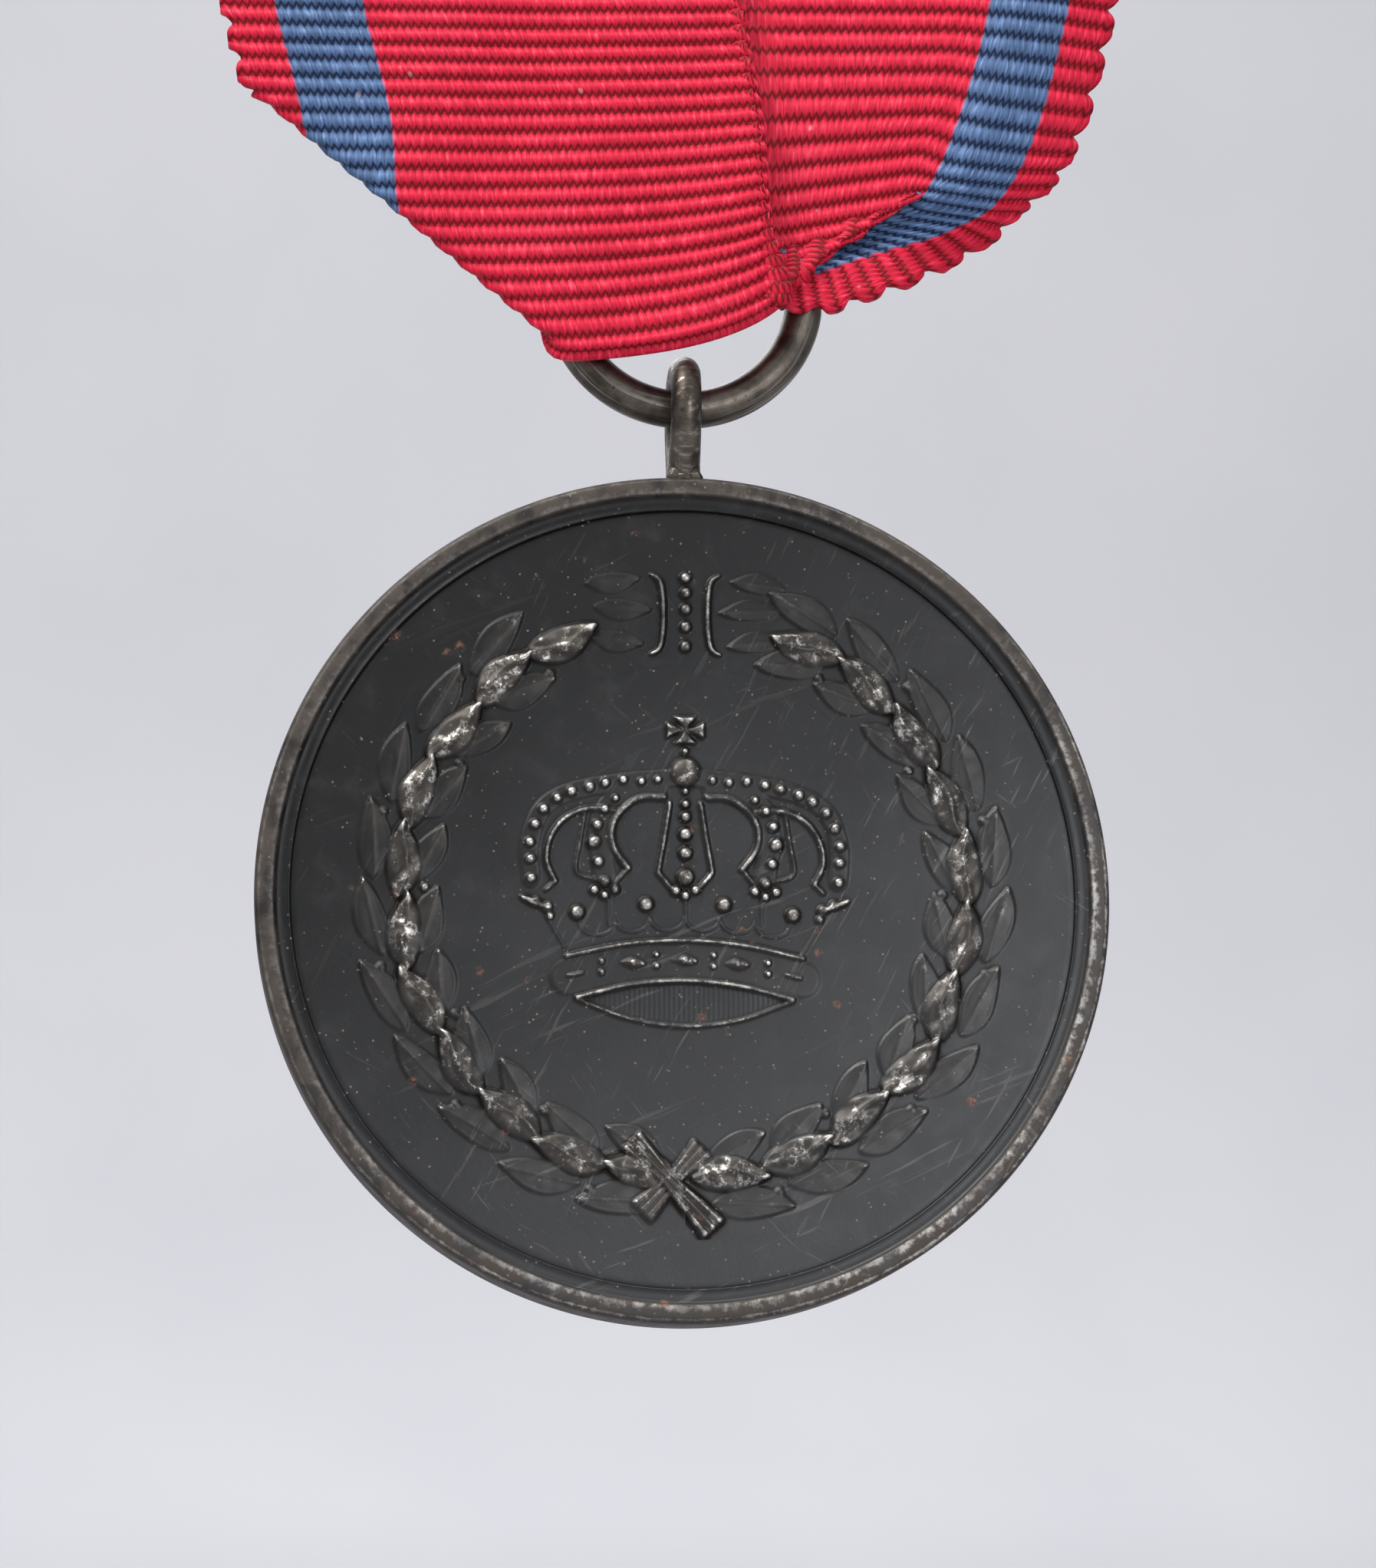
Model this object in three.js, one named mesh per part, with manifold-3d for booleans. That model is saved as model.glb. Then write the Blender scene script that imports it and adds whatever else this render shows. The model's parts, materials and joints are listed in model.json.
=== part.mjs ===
// A military service medal hung from a pin-back ribbon mount.
// Millimetres, +Z up. The obverse faces -Y and the wearer's coat is on the +Y side.
// The origin is the centre of the pin bar's back face, where the mount bears on the coat.
import * as THREE from "three";
import { mergeVertices } from "three/addons/utils/BufferGeometryUtils.js";
import Module from "manifold-3d";

const wasm = await Module();
wasm.setup();

// ---- Driving dimensions -------------------------------------------------------------------

const fitGap = 0.05; // between pieces that are sewn, riveted or soldered together

// Medal disc
const discDiameter = 33;
const discThickness = 2.8;
const rimWidth = 0.75;
const rimHeight = 0.35; // rim above the ledge
const rimChamfer = 0.22;
const ledgeWidth = 0.55;
const ledgeHeight = 0.08; // ledge above the field
const reliefHeight = 0.3; // highest relief above the field

// Eyelet soldered to the disc's edge
const eyeletWire = 1.2;
const eyeletRise = 3.05; // from the disc's edge up to the centre of the ring's wire
const eyeletPlay = 0.12; // above the ring's wire
const eyeletSidePlay = 0.25;
const eyeletFootWidth = 1.6;
const eyeletFootDepth = 2.2;
const eyeletFootHeight = 0.75;

// Split suspension ring
const ringWire = 1.5;
const ringRadius = 4.85; // centre line
const ringGap = 0.16;
const ringGapAngle = -7; // degrees from +X
const ringPivotDrop = 1; // swing axis below the centre of the ring's top wire

// Ribbon
const ribbonWidth = 38;
const ribbonThickness = 0.45;
const ribbonDrop = 40; // from the origin down to the ring's swing axis
const ribbonLoopPlay = 0.3; // around the ring's top wire
const ribbonNeckPlay = 0.3; // on each side of the neck, inside the ring
const ribbonNeckTop = 0.9; // height above the swing axis where the ribbon fans out

// Mount plate inside the ribbon's top fold
const plateInset = 0.5; // from each edge of the ribbon
const plateHeight = 8;
const plateThickness = 0.8;

// Pin bar, its rivets and the pin
const barInset = 1.5; // from each end of the plate
const barHeight = 5;
const barThickness = 0.8;
const rivetShank = 1.2;
const rivetHead = 2.2;
const rivetHeadHeight = 0.4;
const rivetInset = 9.5; // from each end of the bar
const pinLine = 0.9; // height of the pin above the middle of the bar
const pivotInset = 3; // pivot rivet from the bar's end
const pinEyeDiameter = 2.8;
const pinEyeThickness = 0.6;
const washerDiameter = 2.2;
const pinWire = 0.9;
const pointInset = 2.5; // pin's point from the bar's other end
const pinTaper = 3.5;
const pivotPlay = 0.06;
const hookWidth = 2.4;
const hookSheet = 0.5;
const hookPlay = 0.12;
const hookInset = 3.6; // from the pin's point to the middle of the hook
const hookLip = 0.55; // how far the hook's free edge hangs below the pin's centre

// ---- Places worked out from them ----------------------------------------------------------

const plateWidth = ribbonWidth - 2 * plateInset;
const barWidth = plateWidth - 2 * barInset;
const rivetX = barWidth / 2 - rivetInset; // each side of the middle
const pivotOffset = barWidth / 2 - pivotInset; // from the middle of the bar
const pinReach = pivotOffset + barWidth / 2 - pointInset; // from the pivot to the point
const discRadius = discDiameter / 2;
const faceY = -discThickness / 2; // rim's front, with the disc centred on y = 0
const fieldY = faceY + rimHeight + ledgeHeight;
const plateBack = -(barThickness + fitGap + ribbonThickness + fitGap);
const hangY = plateBack - plateThickness / 2;
const swingZ = -ribbonDrop;
const ringZ = swingZ + ringPivotDrop - ringRadius;
const medalSwingZ = ringZ - ringRadius;
const loopRadius = ringPivotDrop + ringWire / 2 + ribbonLoopPlay; // inside of the ribbon's loop
const pinY = fitGap + hookSheet + hookPlay + pinWire / 2;

// ---- Solids and meshes --------------------------------------------------------------------

// A three.js geometry as a manifold-3d solid, with shared vertices merged.
function solidOf(geometry) {
  const bare = geometry.clone();
  bare.deleteAttribute("normal");
  bare.deleteAttribute("uv");
  const merged = mergeVertices(bare, 1e-4);
  const triVerts = [];
  for (let i = 0; i < merged.index.count; i += 3) {
    const [a, b, c] = [0, 1, 2].map((k) => merged.index.getX(i + k));
    if (a !== b && b !== c && a !== c) triVerts.push(a, b, c);
  }
  const vertProperties = Float32Array.from(merged.attributes.position.array);
  return new wasm.Manifold(
    new wasm.Mesh({ numProp: 3, vertProperties, triVerts: Uint32Array.from(triVerts) }),
  );
}

// A manifold-3d solid as a three.js geometry.
function geometryOf(solid) {
  const mesh = solid.getMesh();
  const position = new Float32Array(mesh.numVert * 3);
  for (let i = 0; i < mesh.numVert; i++) {
    for (let k = 0; k < 3; k++) position[i * 3 + k] = mesh.vertProperties[i * mesh.numProp + k];
  }
  const geometry = new THREE.BufferGeometry();
  geometry.setAttribute("position", new THREE.BufferAttribute(position, 3));
  geometry.setIndex(new THREE.BufferAttribute(Uint32Array.from(mesh.triVerts), 1));
  geometry.computeVertexNormals();
  return geometry;
}

function union(geometries) {
  return geometries.map(solidOf).reduce((sum, solid) => sum.add(solid));
}

function cut(solid, geometries) {
  return geometries.map(solidOf).reduce((rest, tool) => rest.subtract(tool), solid);
}

// A cylinder or cone along Y from yFrom to yTo, centred on (x, z).
function rod(radiusFrom, radiusTo, yFrom, yTo, x = 0, z = 0, segments = 32) {
  const geometry = new THREE.CylinderGeometry(radiusTo, radiusFrom, yTo - yFrom, segments);
  return geometry.translate(x, (yFrom + yTo) / 2, z);
}

// A box between two corners.
function block(low, high) {
  const size = high.map((value, i) => value - low[i]);
  const middle = high.map((value, i) => (value + low[i]) / 2);
  return new THREE.BoxGeometry(...size).translate(...middle);
}

// A round section swept along a curve, with closed ends.
function wire(curve, diameter, steps, sides = 8) {
  const section = new THREE.Shape();
  section.absarc(0, 0, diameter / 2, 0, 2 * Math.PI);
  return new THREE.ExtrudeGeometry(section, { extrudePath: curve, steps, curveSegments: sides });
}

// An outline of [y, z] points extruded along X, centred on x = 0.
function acrossX(outline, width) {
  const shape = new THREE.Shape(outline.map(([y, z]) => new THREE.Vector2(y, z)));
  const geometry = new THREE.ExtrudeGeometry(shape, { depth: width, bevelEnabled: false });
  geometry.rotateY(Math.PI / 2).rotateX(Math.PI / 2);
  return geometry.translate(-width / 2, 0, 0);
}

// An outline of [x, z] points extruded along Y between two depths.
function acrossY(outline, yFrom, yTo) {
  const shape = new THREE.Shape(outline.map(([x, z]) => new THREE.Vector2(x, z)));
  const geometry = new THREE.ExtrudeGeometry(shape, { depth: yTo - yFrom, bevelEnabled: false });
  return geometry.rotateX(Math.PI / 2).translate(0, yTo, 0);
}

// A solid as a named mesh with its finish, set at a place in its group.
function place(group, name, solid, finish, position = [0, 0, 0]) {
  const mesh = new THREE.Mesh(geometryOf(solid), finish);
  mesh.name = name;
  mesh.position.set(...position);
  group.add(mesh);
}

// ---- Groups: each moving one has its origin on the axis it turns about ---------------------

const part = new THREE.Group();
const ringGroup = new THREE.Group();
const medalGroup = new THREE.Group();
const pinGroup = new THREE.Group();
ringGroup.position.set(0, hangY, swingZ);
medalGroup.position.set(0, 0, medalSwingZ - swingZ);
pinGroup.position.set(-pivotOffset, pinY, pinLine);
ringGroup.add(medalGroup);
part.add(ringGroup, pinGroup);

// ---- Finishes -----------------------------------------------------------------------------

const finish = (color, roughness, metalness) =>
  new THREE.MeshStandardMaterial({ color, roughness, metalness });
const blackMetal = finish(0x3a3a3a, 0.45, 0.9);
const wornWire = finish(0x655b50, 0.4, 0.9);
const redSilk = finish(0xb81f38, 0.7, 0);
const tinPlate = finish(0x96968f, 0.4, 1);
const brass = finish(0xa8894e, 0.4, 1);
const pinSteel = finish(0xb8b8b4, 0.3, 1);

// ---- Relief struck into the disc, drawn on the disc centred on the origin ------------------

const degrees = THREE.MathUtils.degToRad;
const mirrored = (points) => points.map(([x, z]) => [-x, z]);

// A low round bead standing on the field.
function bead(x, z, radius) {
  const geometry = new THREE.IcosahedronGeometry(radius, 1);
  geometry.scale(1, Math.min(1, reliefHeight / radius), 1);
  return geometry.translate(x, fieldY, z);
}

// A raised line through [x, z] points.
function ridge(points, width, steps = 16) {
  const path = points.map(([x, z]) => new THREE.Vector3(x, fieldY, z));
  return wire(new THREE.CatmullRomCurve3(path), width, steps, 3);
}

// A leaf as a low faceted lens, its tip pointing along the given direction.
function leaf(x, z, direction, length, width, height) {
  const geometry = new THREE.OctahedronGeometry(1);
  geometry.scale(length / 2, height, width / 2).rotateY(-direction);
  return geometry.translate(x, fieldY, z);
}

// Two laurel sprays, three leaves abreast, growing up both sides from the tie.
function wreath() {
  const pieces = [];
  const leafStep = 14.5;
  const lanes = [
    { radius: 11, splay: 0, lead: 8, height: reliefHeight },
    { radius: 12, splay: -28, lead: 13, height: reliefHeight * 0.7 },
    { radius: 10.25, splay: 25, lead: 13, height: reliefHeight * 0.6 },
  ];
  for (const side of [-1, 1]) {
    for (const lane of lanes) {
      for (let i = 0; i < 11; i++) {
        const turn = degrees(lane.lead + i * leafStep);
        const heading = turn + degrees(lane.splay);
        const [x, z] = [side * lane.radius * Math.sin(turn), -lane.radius * Math.cos(turn)];
        const direction = Math.atan2(Math.sin(heading), side * Math.cos(heading));
        pieces.push(leaf(x, z, direction, 3.1, 1.2, lane.height));
      }
    }
  }
  for (const z of [9.7, 10.5, 11.2, 11.85, 12.45]) pieces.push(bead(0, z, 0.26));
  return pieces;
}

// The crossed ribbon that ties the two sprays.
function tie() {
  return [-40, 32].map((lean) => {
    const band = new THREE.BoxGeometry(1.3, reliefHeight * 2, 4);
    return band.rotateY(degrees(lean)).translate(0, fieldY, -11.1);
  });
}

// Half a crown's arches, as [points, bead count] from the orb down to the circlet.
const outerArch = [[0.5, 4.5], [2.4, 4.3], [4.4, 3.9], [5.5, 3.2], [5.98, 1.9], [5.93, 0.4]];
const outerArchInside = [[2.9, 3.3], [3.74, 3.2], [4.65, 2.86], [5.2, 2.1], [5.3, 0.5]];
const innerArch = [[0.8, 3.75], [1.9, 3.9], [2.8, 3.6], [3.4, 2.6], [3.5, 1.9], [3.3, 0.9]];
const innerArchInside = [[0.9, 3.3], [1.8, 3.55], [2.6, 3.1], [2.8, 2.3], [2.2, 0.9]];

function crown() {
  const pieces = [];
  for (const side of [1, -1]) {
    const turned = (points) => (side === 1 ? points : mirrored(points));
    pieces.push(ridge(turned(outerArch), 0.5), ridge(turned(outerArchInside), 0.3));
    pieces.push(ridge(turned(innerArch), 0.45), ridge(turned(innerArchInside), 0.3));
    pieces.push(ridge(turned([[0.55, 3.5], [0.75, 2.2], [1, 0.8]]), 0.3));
    pieces.push(leaf(side * 3.1, -0.3, Math.PI / 2, 1.9, 1.2, reliefHeight * 0.8));
    pieces.push(leaf(side * 5.5, -0.6, degrees(side === 1 ? 35 : 145), 1.9, 0.9, reliefHeight * 0.8));
    pieces.push(bead(side * 1.5, -0.45, 0.27), bead(side * 4.2, -0.8, 0.27));
    pieces.push(leaf(side * 2.2, -2.75, 0, 1.2, 0.8, reliefHeight * 0.8));
  }
  for (const z of [3.95, 3.45, 2.95, 2.3, 1.55]) pieces.push(bead(0, z, 0.26));
  pieces.push(bead(0, 4.75, 0.52), leaf(0, -0.4, Math.PI / 2, 2, 1.3, reliefHeight * 0.8));
  pieces.push(leaf(0, -2.6, 0, 1.2, 0.8, reliefHeight * 0.8));
  pieces.push(ridge([[-4.6, -2.5], [0, -1.85], [4.6, -2.5]], 0.4));
  pieces.push(ridge([[-4.2, -4.05], [0, -3.4], [4.2, -4.05]], 0.4));
  pieces.push(ridge([[-4.1, -4.2], [0, -5.15], [4.1, -4.2]], 0.4));
  pieces.push(...crossPattee(6.35));
  return pieces;
}

// The small cross on top: two tapered bars, wide at the ends.
function crossPattee(z) {
  const [long, wide, narrow] = [0.75, 0.42, 0.16];
  const bar = [[-long, -wide], [0, -narrow], [long, -wide], [long, wide], [0, narrow], [-long, wide]];
  const upright = bar.map(([x, y]) => [-y, x * 0.75]);
  const depth = [fieldY - reliefHeight, fieldY + 0.2];
  return [bar, upright].map((outline) => acrossY(outline, ...depth).translate(0, 0, z));
}

// ---- Medal disc ---------------------------------------------------------------------------

// Half of the section as [radius, y], from the middle of the obverse out to the rim.
function halfSection() {
  const ledgeY = faceY + rimHeight;
  const rimInside = discRadius - rimWidth;
  return [
    [0, fieldY],
    [rimInside - ledgeWidth, fieldY],
    [rimInside - ledgeWidth, ledgeY],
    [rimInside - 0.12, ledgeY],
    [rimInside, faceY],
    [discRadius - rimChamfer, faceY],
    [discRadius, faceY + rimChamfer],
  ];
}

function medalDisc() {
  const front = halfSection();
  const back = front.map(([radius, y]) => [radius, -y]).reverse();
  const section = [...front, ...back].map(([radius, y]) => new THREE.Vector2(radius, y));
  const blank = solidOf(new THREE.LatheGeometry(section, 128));
  return blank.add(union([...wreath(), ...tie(), ...crown()]));
}

place(medalGroup, "medal_disc", medalDisc(), blackMetal, [0, 0, -eyeletRise - discRadius]);

// ---- Eyelet -------------------------------------------------------------------------------

// A wire loop edge-on to the obverse, its legs meeting in a foot that saddles the disc's edge.
function eyelet() {
  const side = ringWire / 2 + eyeletSidePlay + eyeletWire / 2;
  const top = ringWire / 2 + eyeletPlay + eyeletWire / 2;
  const footTop = -eyeletRise + eyeletFootHeight;
  const legs = eyeletFootDepth / 2 - eyeletWire / 2 - 0.05;
  const half = [[legs, footTop - 0.35], [side * 0.82, -1.25], [side, -0.15], [side * 0.76, top * 0.72]];
  const other = half.map(([y, z]) => [-y, z]).reverse();
  const path = [...half, [0, top], ...other].map(([y, z]) => new THREE.Vector3(0, y, z));
  const loop = solidOf(wire(new THREE.CatmullRomCurve3(path), eyeletWire, 40));
  const footHalf = [eyeletFootWidth / 2, eyeletFootDepth / 2];
  const footLow = -eyeletRise - 0.4;
  const foot = block([-footHalf[0], -footHalf[1], footLow], [...footHalf, footTop]);
  const discRoom = rod(discRadius + fitGap, discRadius + fitGap, -3, 3, 0, 0, 128);
  return cut(loop.add(solidOf(foot)), [discRoom.translate(0, 0, -eyeletRise - discRadius)]);
}

place(medalGroup, "eyelet", eyelet(), wornWire);

// ---- Suspension ring ----------------------------------------------------------------------

// An open circle in the XZ plane, running round from one side of the split to the other.
class SplitCircle extends THREE.Curve {
  getPoint(t) {
    const halfGap = ringGap / 2 / ringRadius;
    const angle = degrees(ringGapAngle) + halfGap + t * (2 * Math.PI - 2 * halfGap);
    return new THREE.Vector3(ringRadius * Math.cos(angle), 0, ringRadius * Math.sin(angle));
  }
}

const ring = solidOf(wire(new SplitCircle(), ringWire, 72, 10));
place(ringGroup, "suspension_ring", ring, wornWire, [0, 0, ringPivotDrop - ringRadius]);

// ---- Ribbon -------------------------------------------------------------------------------

// One surface of the closed band in section, offset outward from the innermost surface.
function bandOutline(offset) {
  const loop = loopRadius + offset;
  const side = plateThickness / 2 + fitGap + offset;
  const top = plateHeight / 2 + fitGap;
  const points = [];
  for (let i = 0; i <= 16; i++) {
    const angle = Math.PI + (i / 16) * Math.PI;
    points.push([hangY + loop * Math.cos(angle), swingZ + loop * Math.sin(angle)]);
  }
  points.push([hangY + side, -plateHeight / 2], [hangY + side, top]);
  if (offset > 0) points.push([hangY + side / 2, top + offset], [hangY - side / 2, top + offset]);
  points.push([hangY - side, top], [hangY - side, -plateHeight / 2]);
  return points;
}

// Half-width of the neck that passes through the ring without touching it.
function neckHalfWidth() {
  const lift = ringRadius - ringPivotDrop - loopRadius; // loop's inside above the ring's centre
  return Math.sqrt((ringRadius - ringWire / 2) ** 2 - lift ** 2) - ribbonNeckPlay;
}

// The ribbon's outline from the front: gathered at the ring, full width further up.
function frontOutline() {
  const neck = neckHalfWidth();
  const full = ribbonWidth / 2;
  const [low, high] = [swingZ - loopRadius - 2, plateHeight / 2 + 2];
  const fan = swingZ + ribbonNeckTop;
  return [
    [-neck, low], [neck, low], [neck, fan],
    [full * 0.58, fan + 0.6], [full * 0.75, fan + 2.9], [full * 0.85, fan + 7],
    [full * 0.95, fan + 14], [full, fan + 22], [full, high],
    [-full, high], [-full, fan + 14], [-full * 0.97, fan + 9], [-full * 0.86, fan + 6.6],
    [-neck, fan],
  ];
}

function ribbon() {
  const band = solidOf(acrossX(bandOutline(ribbonThickness), ribbonWidth));
  const inside = acrossX(bandOutline(0), ribbonWidth + 2);
  const front = acrossY(frontOutline(), hangY - 6, hangY + 6);
  const holes = [-1, 1].map((side) => {
    const radius = rivetShank / 2 + fitGap;
    return rod(radius, radius, hangY, 0, side * rivetX);
  });
  return cut(band, [inside, ...holes]).intersect(solidOf(front));
}

place(part, "ribbon", ribbon(), redSilk);

// ---- Mount plate and pin bar --------------------------------------------------------------

// A rivet's flared front end, widening towards -Y and flush with the sheet's front face.
function flare(front, x, z, extra) {
  return rod(rivetShank / 2 + 0.45 + extra, rivetShank / 2 + extra, front, front + 0.45, x, z);
}

// A rivet from a flared end at the front to a head resting on headSeat.
function rivet(front, headSeat) {
  const shank = rod(rivetShank / 2, rivetShank / 2, front + 0.1, headSeat + 0.1);
  const head = rod(rivetHead / 2, rivetHead / 2 - 0.25, headSeat, headSeat + rivetHeadHeight);
  return union([shank, flare(front, 0, 0, 0), head]);
}

// Holes for one rivet through a sheet between two depths, flared at the front if asked.
function rivetRoom(front, back, x, z, flared) {
  const radius = rivetShank / 2 + fitGap;
  const hole = rod(radius, radius, front - 0.5, back + 0.5, x, z);
  return flared ? [hole, flare(front, x, z, fitGap)] : [hole];
}

const plateFront = plateBack - plateThickness;
const platePoint = [plateWidth / 2, plateBack, plateHeight / 2];
const plate = solidOf(block([-plateWidth / 2, plateFront, -plateHeight / 2], platePoint));
const plateHoles = [-rivetX, rivetX].flatMap((x) => rivetRoom(plateFront, plateBack, x, 0, true));
place(part, "mount_plate", cut(plate, plateHoles), tinPlate);

// The bar is a strip with rounded ends, lying between the ribbon and the coat.
function pinBar() {
  const radius = barHeight / 2;
  const straight = barWidth / 2 - radius;
  const strip = block([-straight, -barThickness, -radius], [straight, 0, radius]);
  const ends = [-straight, straight].map((x) => rod(radius, radius, -barThickness, 0, x));
  const rivetHoles = [-rivetX, rivetX].flatMap((x) => rivetRoom(-barThickness, 0, x, 0, false));
  const pivotHoles = rivetRoom(-barThickness, 0, -pivotOffset, pinLine, true);
  return cut(union([strip, ...ends]), [...rivetHoles, ...pivotHoles]);
}

place(part, "pin_bar", pinBar(), brass);
place(part, "rivet_left", rivet(plateFront, fitGap), brass, [-rivetX, 0, 0]);
place(part, "rivet_right", rivet(plateFront, fitGap), brass, [rivetX, 0, 0]);

// ---- Pin, pivot and hook ------------------------------------------------------------------

const eyeFront = pinY - pinEyeThickness / 2;
const eyeBack = pinY + pinEyeThickness / 2;
const pivotBore = rivetShank / 2 + pivotPlay;

// A spacer that keeps the pin level with the hook.
function pivotWasher() {
  const outside = washerDiameter / 2;
  const body = rod(outside, outside, fitGap, eyeFront - pivotPlay);
  return cut(solidOf(body), [rod(pivotBore, pivotBore, 0, eyeFront)]);
}

const pivotPlace = [-pivotOffset, 0, pinLine];
place(part, "pivot_washer", pivotWasher(), brass, pivotPlace);
place(part, "pin_pivot", rivet(-barThickness, eyeBack + pivotPlay), brass, pivotPlace);

// The pin: a flattened eye, a neck that swells to the round stem, and a tapered point.
function pinStem() {
  const halfEye = pinEyeThickness / 2;
  const eye = rod(pinEyeDiameter / 2, pinEyeDiameter / 2, -halfEye, halfEye);
  const stops = [washerDiameter / 2 + 0.05, pinEyeDiameter / 2 + 0.6, pinReach - pinTaper, pinReach];
  const radii = [pinEyeThickness / 2 - 0.01, pinWire / 2, pinWire / 2, 0.06];
  const profile = stops.map((along, i) => new THREE.Vector2(radii[i], along));
  profile.unshift(new THREE.Vector2(0, stops[0]));
  profile.push(new THREE.Vector2(0, pinReach));
  const stem = new THREE.LatheGeometry(profile, 20);
  stem.rotateZ(-Math.PI / 2);
  return cut(union([eye, stem]), [rod(pivotBore, pivotBore, -1, 1)]);
}

place(pinGroup, "pin_stem", pinStem(), pinSteel);

// A strip folded over the pin, with its mouth facing down, centred on x = 0.
function catchHook() {
  const room = pinWire / 2 + hookPlay;
  const front = fitGap;
  const back = pinY + room + hookSheet;
  const top = pinLine + room + hookSheet;
  const bottom = -barHeight / 2 + 0.6;
  const lip = pinLine - hookLip;
  const outline = [
    [front, bottom], [front + hookSheet, bottom], [front + hookSheet, top - hookSheet - 0.15],
    [front + hookSheet + 0.15, top - hookSheet], [back - hookSheet - 0.15, top - hookSheet],
    [back - hookSheet, top - hookSheet - 0.15], [back - hookSheet, lip], [back, lip],
    [back, top - 0.35], [back - 0.35, top], [front + 0.2, top], [front, top - 0.2],
  ];
  return solidOf(acrossX(outline, hookWidth));
}

place(part, "catch_hook", catchHook(), brass, [pinReach - pivotOffset - hookInset, 0, 0]);

export default part;
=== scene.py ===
"""A military service medal: a struck disc hung by an eyelet and a split ring from a folded ribbon.

Lengths are in millimetres until a mesh is placed, and in metres from then on.
The obverse faces -Y. The relief is given as x and z on the disc's own plane, from its centre.
"""

import math

import json

import bmesh
import bpy
import numpy as np
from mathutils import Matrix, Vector


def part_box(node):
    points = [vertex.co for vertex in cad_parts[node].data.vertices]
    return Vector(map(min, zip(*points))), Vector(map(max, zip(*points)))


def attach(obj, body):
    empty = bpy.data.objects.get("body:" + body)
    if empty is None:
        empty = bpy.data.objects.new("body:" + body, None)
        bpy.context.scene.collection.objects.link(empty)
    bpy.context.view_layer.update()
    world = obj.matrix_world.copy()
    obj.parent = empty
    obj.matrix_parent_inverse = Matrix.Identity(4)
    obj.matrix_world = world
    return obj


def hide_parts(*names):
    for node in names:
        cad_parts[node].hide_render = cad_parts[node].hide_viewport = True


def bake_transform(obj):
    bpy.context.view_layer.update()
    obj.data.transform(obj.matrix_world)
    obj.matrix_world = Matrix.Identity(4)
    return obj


bl_info = {
    "name": "Service Medal",
    "version": (1, 0, 0),
    "blender": (4, 5, 0),
    "location": "View3D > Sidebar > Medal",
    "description": "Builds a struck service medal on a ribbon, piece by piece, on its packed frame",
    "category": "Add Mesh",
}

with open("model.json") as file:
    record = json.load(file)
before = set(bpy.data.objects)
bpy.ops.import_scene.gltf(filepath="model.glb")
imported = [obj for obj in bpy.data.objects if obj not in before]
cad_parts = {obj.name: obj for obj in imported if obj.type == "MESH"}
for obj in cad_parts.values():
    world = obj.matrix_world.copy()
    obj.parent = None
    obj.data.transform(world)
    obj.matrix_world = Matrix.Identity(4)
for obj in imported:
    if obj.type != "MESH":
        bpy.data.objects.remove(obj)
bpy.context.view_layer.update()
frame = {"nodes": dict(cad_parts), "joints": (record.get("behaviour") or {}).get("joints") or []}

MM = 0.001


def box_mm(node):
    """A frame node's lowest and highest corners, in millimetres."""
    low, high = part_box(node)
    return Vector(low) / MM, Vector(high) / MM


def joint_point(name):
    """The point a joint turns about, in millimetres."""
    joint = next(j for j in frame["joints"] if j["name"] == name)
    return Vector(joint["pos_m"]) / MM


DISC_LOW, DISC_HIGH = box_mm("medal_disc")
RING_LOW, RING_HIGH = box_mm("suspension_ring")
PLATE_TOP = box_mm("mount_plate")[1].z
DISC_CENTRE = (DISC_LOW + DISC_HIGH) / 2
DISC_RADIUS = (DISC_HIGH.x - DISC_LOW.x) / 2
DISC_HALF = (DISC_HIGH.y - DISC_LOW.y) / 2
RING_CENTRE = Vector((0, (RING_LOW.y + RING_HIGH.y) / 2, (RING_LOW.z + RING_HIGH.z) / 2))
RING_WIRE = RING_HIGH.y - RING_LOW.y
RING_RADIUS = (RING_HIGH.z - RING_LOW.z - RING_WIRE) / 2
EYELET_AXIS = joint_point("medal_swing")
SWING_AXIS = joint_point("ring_swing")
FOLD_CENTRE = Vector((0, RING_CENTRE.y, DISC_CENTRE.z + 23.45))  # the ribbon's places are from here


# ---- Sizes and colours a user would change ------------------------------------------------


def length(name, description, default, low=0.0):
    """A size in millimetres."""
    return bpy.props.FloatProperty(name=name, description=description, default=default, min=low, precision=3)


def colour(name, description, default):
    """A linear colour."""
    return bpy.props.FloatVectorProperty(
        name=name, description=description, default=default, subtype="COLOR", size=3, min=0, max=1
    )


class StruckMetal(bpy.types.PropertyGroup):
    """The disc: its rim, its relief and its patina."""

    field_depth: length("Field depth", "From the rim down to the flat field", 0.30)
    ledge_depth: length("Ledge depth", "From the rim down to the ledge inside it", 0.23)
    rim_width: length("Rim width", "Width of the raised rim", 0.78)
    ledge_width: length("Ledge width", "Width of the ledge inside the rim", 0.55)
    relief: length("Relief", "Height of the highest relief above the field", 0.34)
    patina: colour("Patina", "Black patina of the field", (0.040, 0.0405, 0.041))
    bright: colour("Worn metal", "Metal showing where the patina is rubbed off", (0.80, 0.77, 0.72))
    brown: colour("Brown tarnish", "Tarnish on the rim", (0.062, 0.050, 0.041))
    rust: colour("Rust", "Rust specks", (0.24, 0.09, 0.04))


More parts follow.
